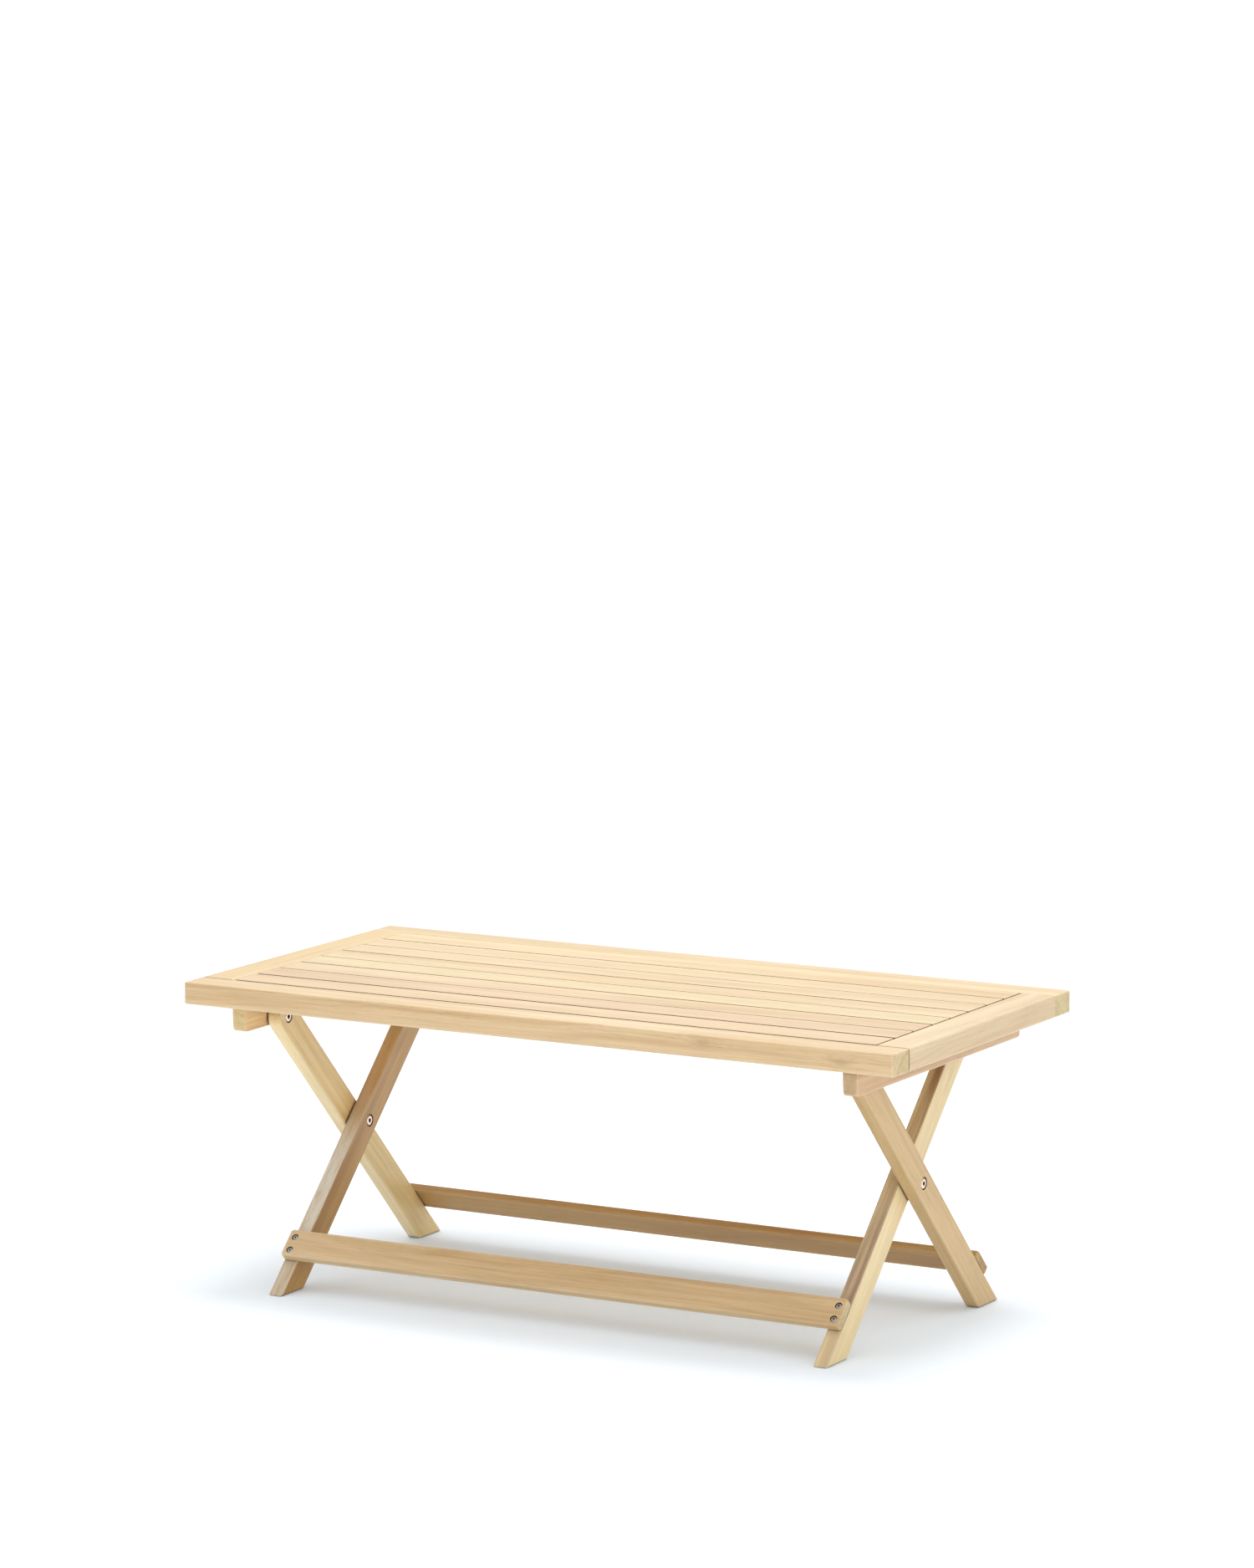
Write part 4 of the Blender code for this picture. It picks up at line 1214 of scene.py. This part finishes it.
def screw_bm(length):
    """A countersunk wood screw: domed head, waist, coarse thread and a point."""
    top, radius = 0.0009, 0.0038  # depth and radius of the head
    core, ridge, pitch = 0.0014, 0.0020, 0.0018
    rings = [
        (top - 0.00018, radius * 0.18, 0), (top - 0.00015, radius * 0.45, 0),
        (top, radius * 0.80, 0), (top + 0.0003, radius * 0.97, 0),
        (top + 0.0006, radius, 0), (top + 0.0027, 0.0022, 0), (top + 0.0031, 0.0017, 0),
    ]
    z, end = top + 0.0060, length - 0.0035
    rings.append((z - 0.0004, core, 0))
    while z + pitch < end:
        rings += [(z, core, 0), (z + 0.0007, ridge, 0), (z + 0.0009, ridge, 0)]
        z += pitch
    rings += [(end, core, 0), (length - 0.0006, 0.0007, 0), (length, 0.0002, 0)]
    return turned_bm(rings, 32)


def cross_recess(matrix):
    """Two crossed tapered blades that cut the driver's recess."""
    made = []
    for turn in (20, 110):
        bm = box_bm((-0.0020, -0.00058, 0.0), (0.0020, 0.00058, 0.0026))
        for v in bm.verts:
            if v.co.z > 0.001:
                v.co.x *= 0.42
        bm.transform(Matrix.Rotation(math.radians(turn), 4, "Z"))
        bm.transform(matrix)
        made.append(bm)
    return made


def place_screw(node, point, direction, length):
    matrix = turn_to(point, direction)
    obj = raw_object(node + "_body", screw_bm(length), matrix)
    cut(obj, cross_recess(matrix))
    obj.data.materials.clear()
    finish_metal(obj, node, STEEL, in_cross_recess)


def screws(side, word):
    """The screws of one side."""
    for end, place, near in zip((-1, 1), ("front", "back"), SCREWED_SLATS):
        mid, _, low, _ = extent(f"{word}_bearer")
        place_screw(f"bearer_screw_{word}_{place}", (mid.x, end * BEARER_SCREW_Y, low.z),
                    (0, 0, 1), length=0.050)
        mid, _, low, _ = extent(f"{word}_batten")
        place_screw(f"batten_screw_{word}_{place}", (mid.x, extent(near).mid.y, low.z),
                    (0, 0, 1), length=0.0215)
        mid, _, low, _ = extent(f"{word}_catch_block")
        place_screw(f"catch_screw_{word}_{place}",
                    (mid.x, BAR.mid.y + end * CATCH_SCREW_REACH, low.z),
                    (0, 0, 1), length=0.0180)
    for place, lean in (("front", 1), ("back", -1)):
        for level, reach in SCREW_REACH.items():
            y, z = on_leg(lean, reach, LEG_WIDTH / 2 + STRETCHER_THICK)
            place_screw(f"{place}_stretcher_screw_{word}_{level}",
                        (side * leg_x(lean), y, z), -leg_axes(lean)[1], length=0.032)
    face = outer_x(f"inner_leg_{word}", side)
    place_screw(f"crossbar_screw_{word}", (face, BAR.mid.y, BAR.mid.z), (-side, 0, 0),
                length=0.040)


# =================================================================== stage
BACKDROP = 1.05  # strength of the white that the camera sees


def floor_material():
    made = bpy.data.materials.new("floor_white")
    made.use_nodes = True
    nodes = made.node_tree.nodes
    shader = nodes["Principled BSDF"]
    for key, value in {
        "Base Color": (0.87, 0.915, 0.97, 1),
        # painted light: a faint blue glow lifts the floor's shadows
        "Emission Color": (0.45, 0.76, 1.0, 1),
        "Emission Strength": 0.105,
        "Roughness": 1.0,
        "Specular IOR Level": 0.0,
    }.items():
        shader.inputs[key].default_value = value
    # far from the table the camera sees the floor as white as the backdrop, and from
    # below it sees through it to the underside, whose feet get light through it too
    net = Net(made.node_tree)
    place = net.node("ShaderNodeNewGeometry").outputs
    seen = net.node("ShaderNodeLightPath").outputs["Is Camera Ray"]
    distance = net.vec("LENGTH", place["Position"])
    far = net.mul(net.step(distance, span=(1.1, 2.6)), seen)
    white = net.node("ShaderNodeEmission", {"Color": (1, 1, 1, 1), "Strength": BACKDROP})
    upper = net.node("ShaderNodeMixShader",
                     {0: far, 1: shader.outputs[0], 2: white.outputs[0]}).outputs[0]
    clear = net.node("ShaderNodeBsdfTransparent").outputs[0]
    path = net.node("ShaderNodeLightPath").outputs
    touch_length = 0.0008
    touching = net.mul(net.math("LESS_THAN", path["Ray Length"], touch_length),
                       path["Is Diffuse Ray"])
    open_part = net.math("MAXIMUM", place["Backfacing"], touching)
    both = net.node("ShaderNodeMixShader", {0: open_part, 1: upper, 2: clear}).outputs[0]
    net.feed(nodes["Material Output"].inputs["Surface"], both)
    return made


def build_floor():
    bm = bmesh.new()
    bmesh.ops.create_grid(bm, x_segments=1, y_segments=1, size=14.0)
    # just below the feet
    floor = raw_object("floor", bm, Matrix.Translation((0, 0, -0.0004)))
    floor.data.materials.append(floor_material())


def build_world():
    """A tent of light, brighter overhead than at the horizon, that the camera sees as
    plain white."""
    horizon, overhead_rise = 0.60, 0.62
    world = bpy.data.worlds.new("studio")
    bpy.context.scene.world = world
    world.use_nodes = True
    net = Net(world.node_tree)
    height = net.split(net.node("ShaderNodeTexCoord").outputs["Generated"])[2]
    level = net.mul(net.math("MAXIMUM", height, 0.0), by=overhead_rise)
    level = net.add(level, plus=horizon)
    seen = net.node("ShaderNodeLightPath").outputs["Is Camera Ray"]
    strength = net.add(net.mul(level, net.sub(1.0, seen)), net.mul(seen, by=BACKDROP))
    background = world.node_tree.nodes["Background"]
    background.inputs[0].default_value = (1.0, 1.0, 1.0, 1)
    net.feed(background.inputs[1], strength)


def area(name, place, target, size, power):
    lamp = bpy.data.lights.new(name, "AREA")
    lamp.shape = "RECTANGLE"
    lamp.size, lamp.size_y = size
    lamp.energy = power
    lamp.color = (1, 1, 1)
    made = bpy.data.objects.new(name, lamp)
    bpy.context.scene.collection.objects.link(made)
    made.location = place
    aim = Vector(target) - Vector(place)
    made.rotation_euler = aim.to_track_quat("-Z", "Y").to_euler()


def build_camera():
    data = bpy.data.cameras.new("camera")
    camera = bpy.data.objects.new("camera", data)
    bpy.context.scene.collection.objects.link(camera)
    data.sensor_width = 36.0
    data.lens = 135.64
    data.clip_end = 100.0
    # the picture's right and down in the world
    right = Vector((0.87486, 0.48437, 0.00199))
    down = Vector((0.07003, -0.12243, -0.99000))
    camera.matrix_world = columns_matrix(
        right, -down, right.cross(-down), place=(3.5517, -6.4173, 1.7019))
    bpy.context.scene.camera = camera


# =================================================================== build
for rail in LONG_RAILS:
    long_rail(*rail)
for rail in END_RAILS:
    end_rail(*rail)
for i, looks in enumerate(SLATS):
    slat(i, *looks)
for row in BEARERS:
    bearer(*row)
for word, (batten_seed, block_seed) in BATTEN_SEEDS.items():
    batten(word, batten_seed)
    catch_block(word, block_seed)
for row in LEGS:
    leg(*row)
for row in STRETCHERS:
    stretcher(*row)
crossbar()
for side, word in SIDES:
    pivots(side, word)
for side, word in SIDES:
    screws(side, word)

build_floor()
build_world()
area("overhead", place=(0.02, 0.22, 2.7), target=(0, 0, 0.2), size=(1.7, 1.2), power=38.5)
area("side_fill", place=(3.3, -1.3, 0.55), target=(0, 0, 0.18), size=(2.2, 0.9), power=13)
build_camera()

view = bpy.context.scene.view_settings
view.view_transform = "Standard"
view.look = "None"
view.exposure = 0.0
view.gamma = 1.0
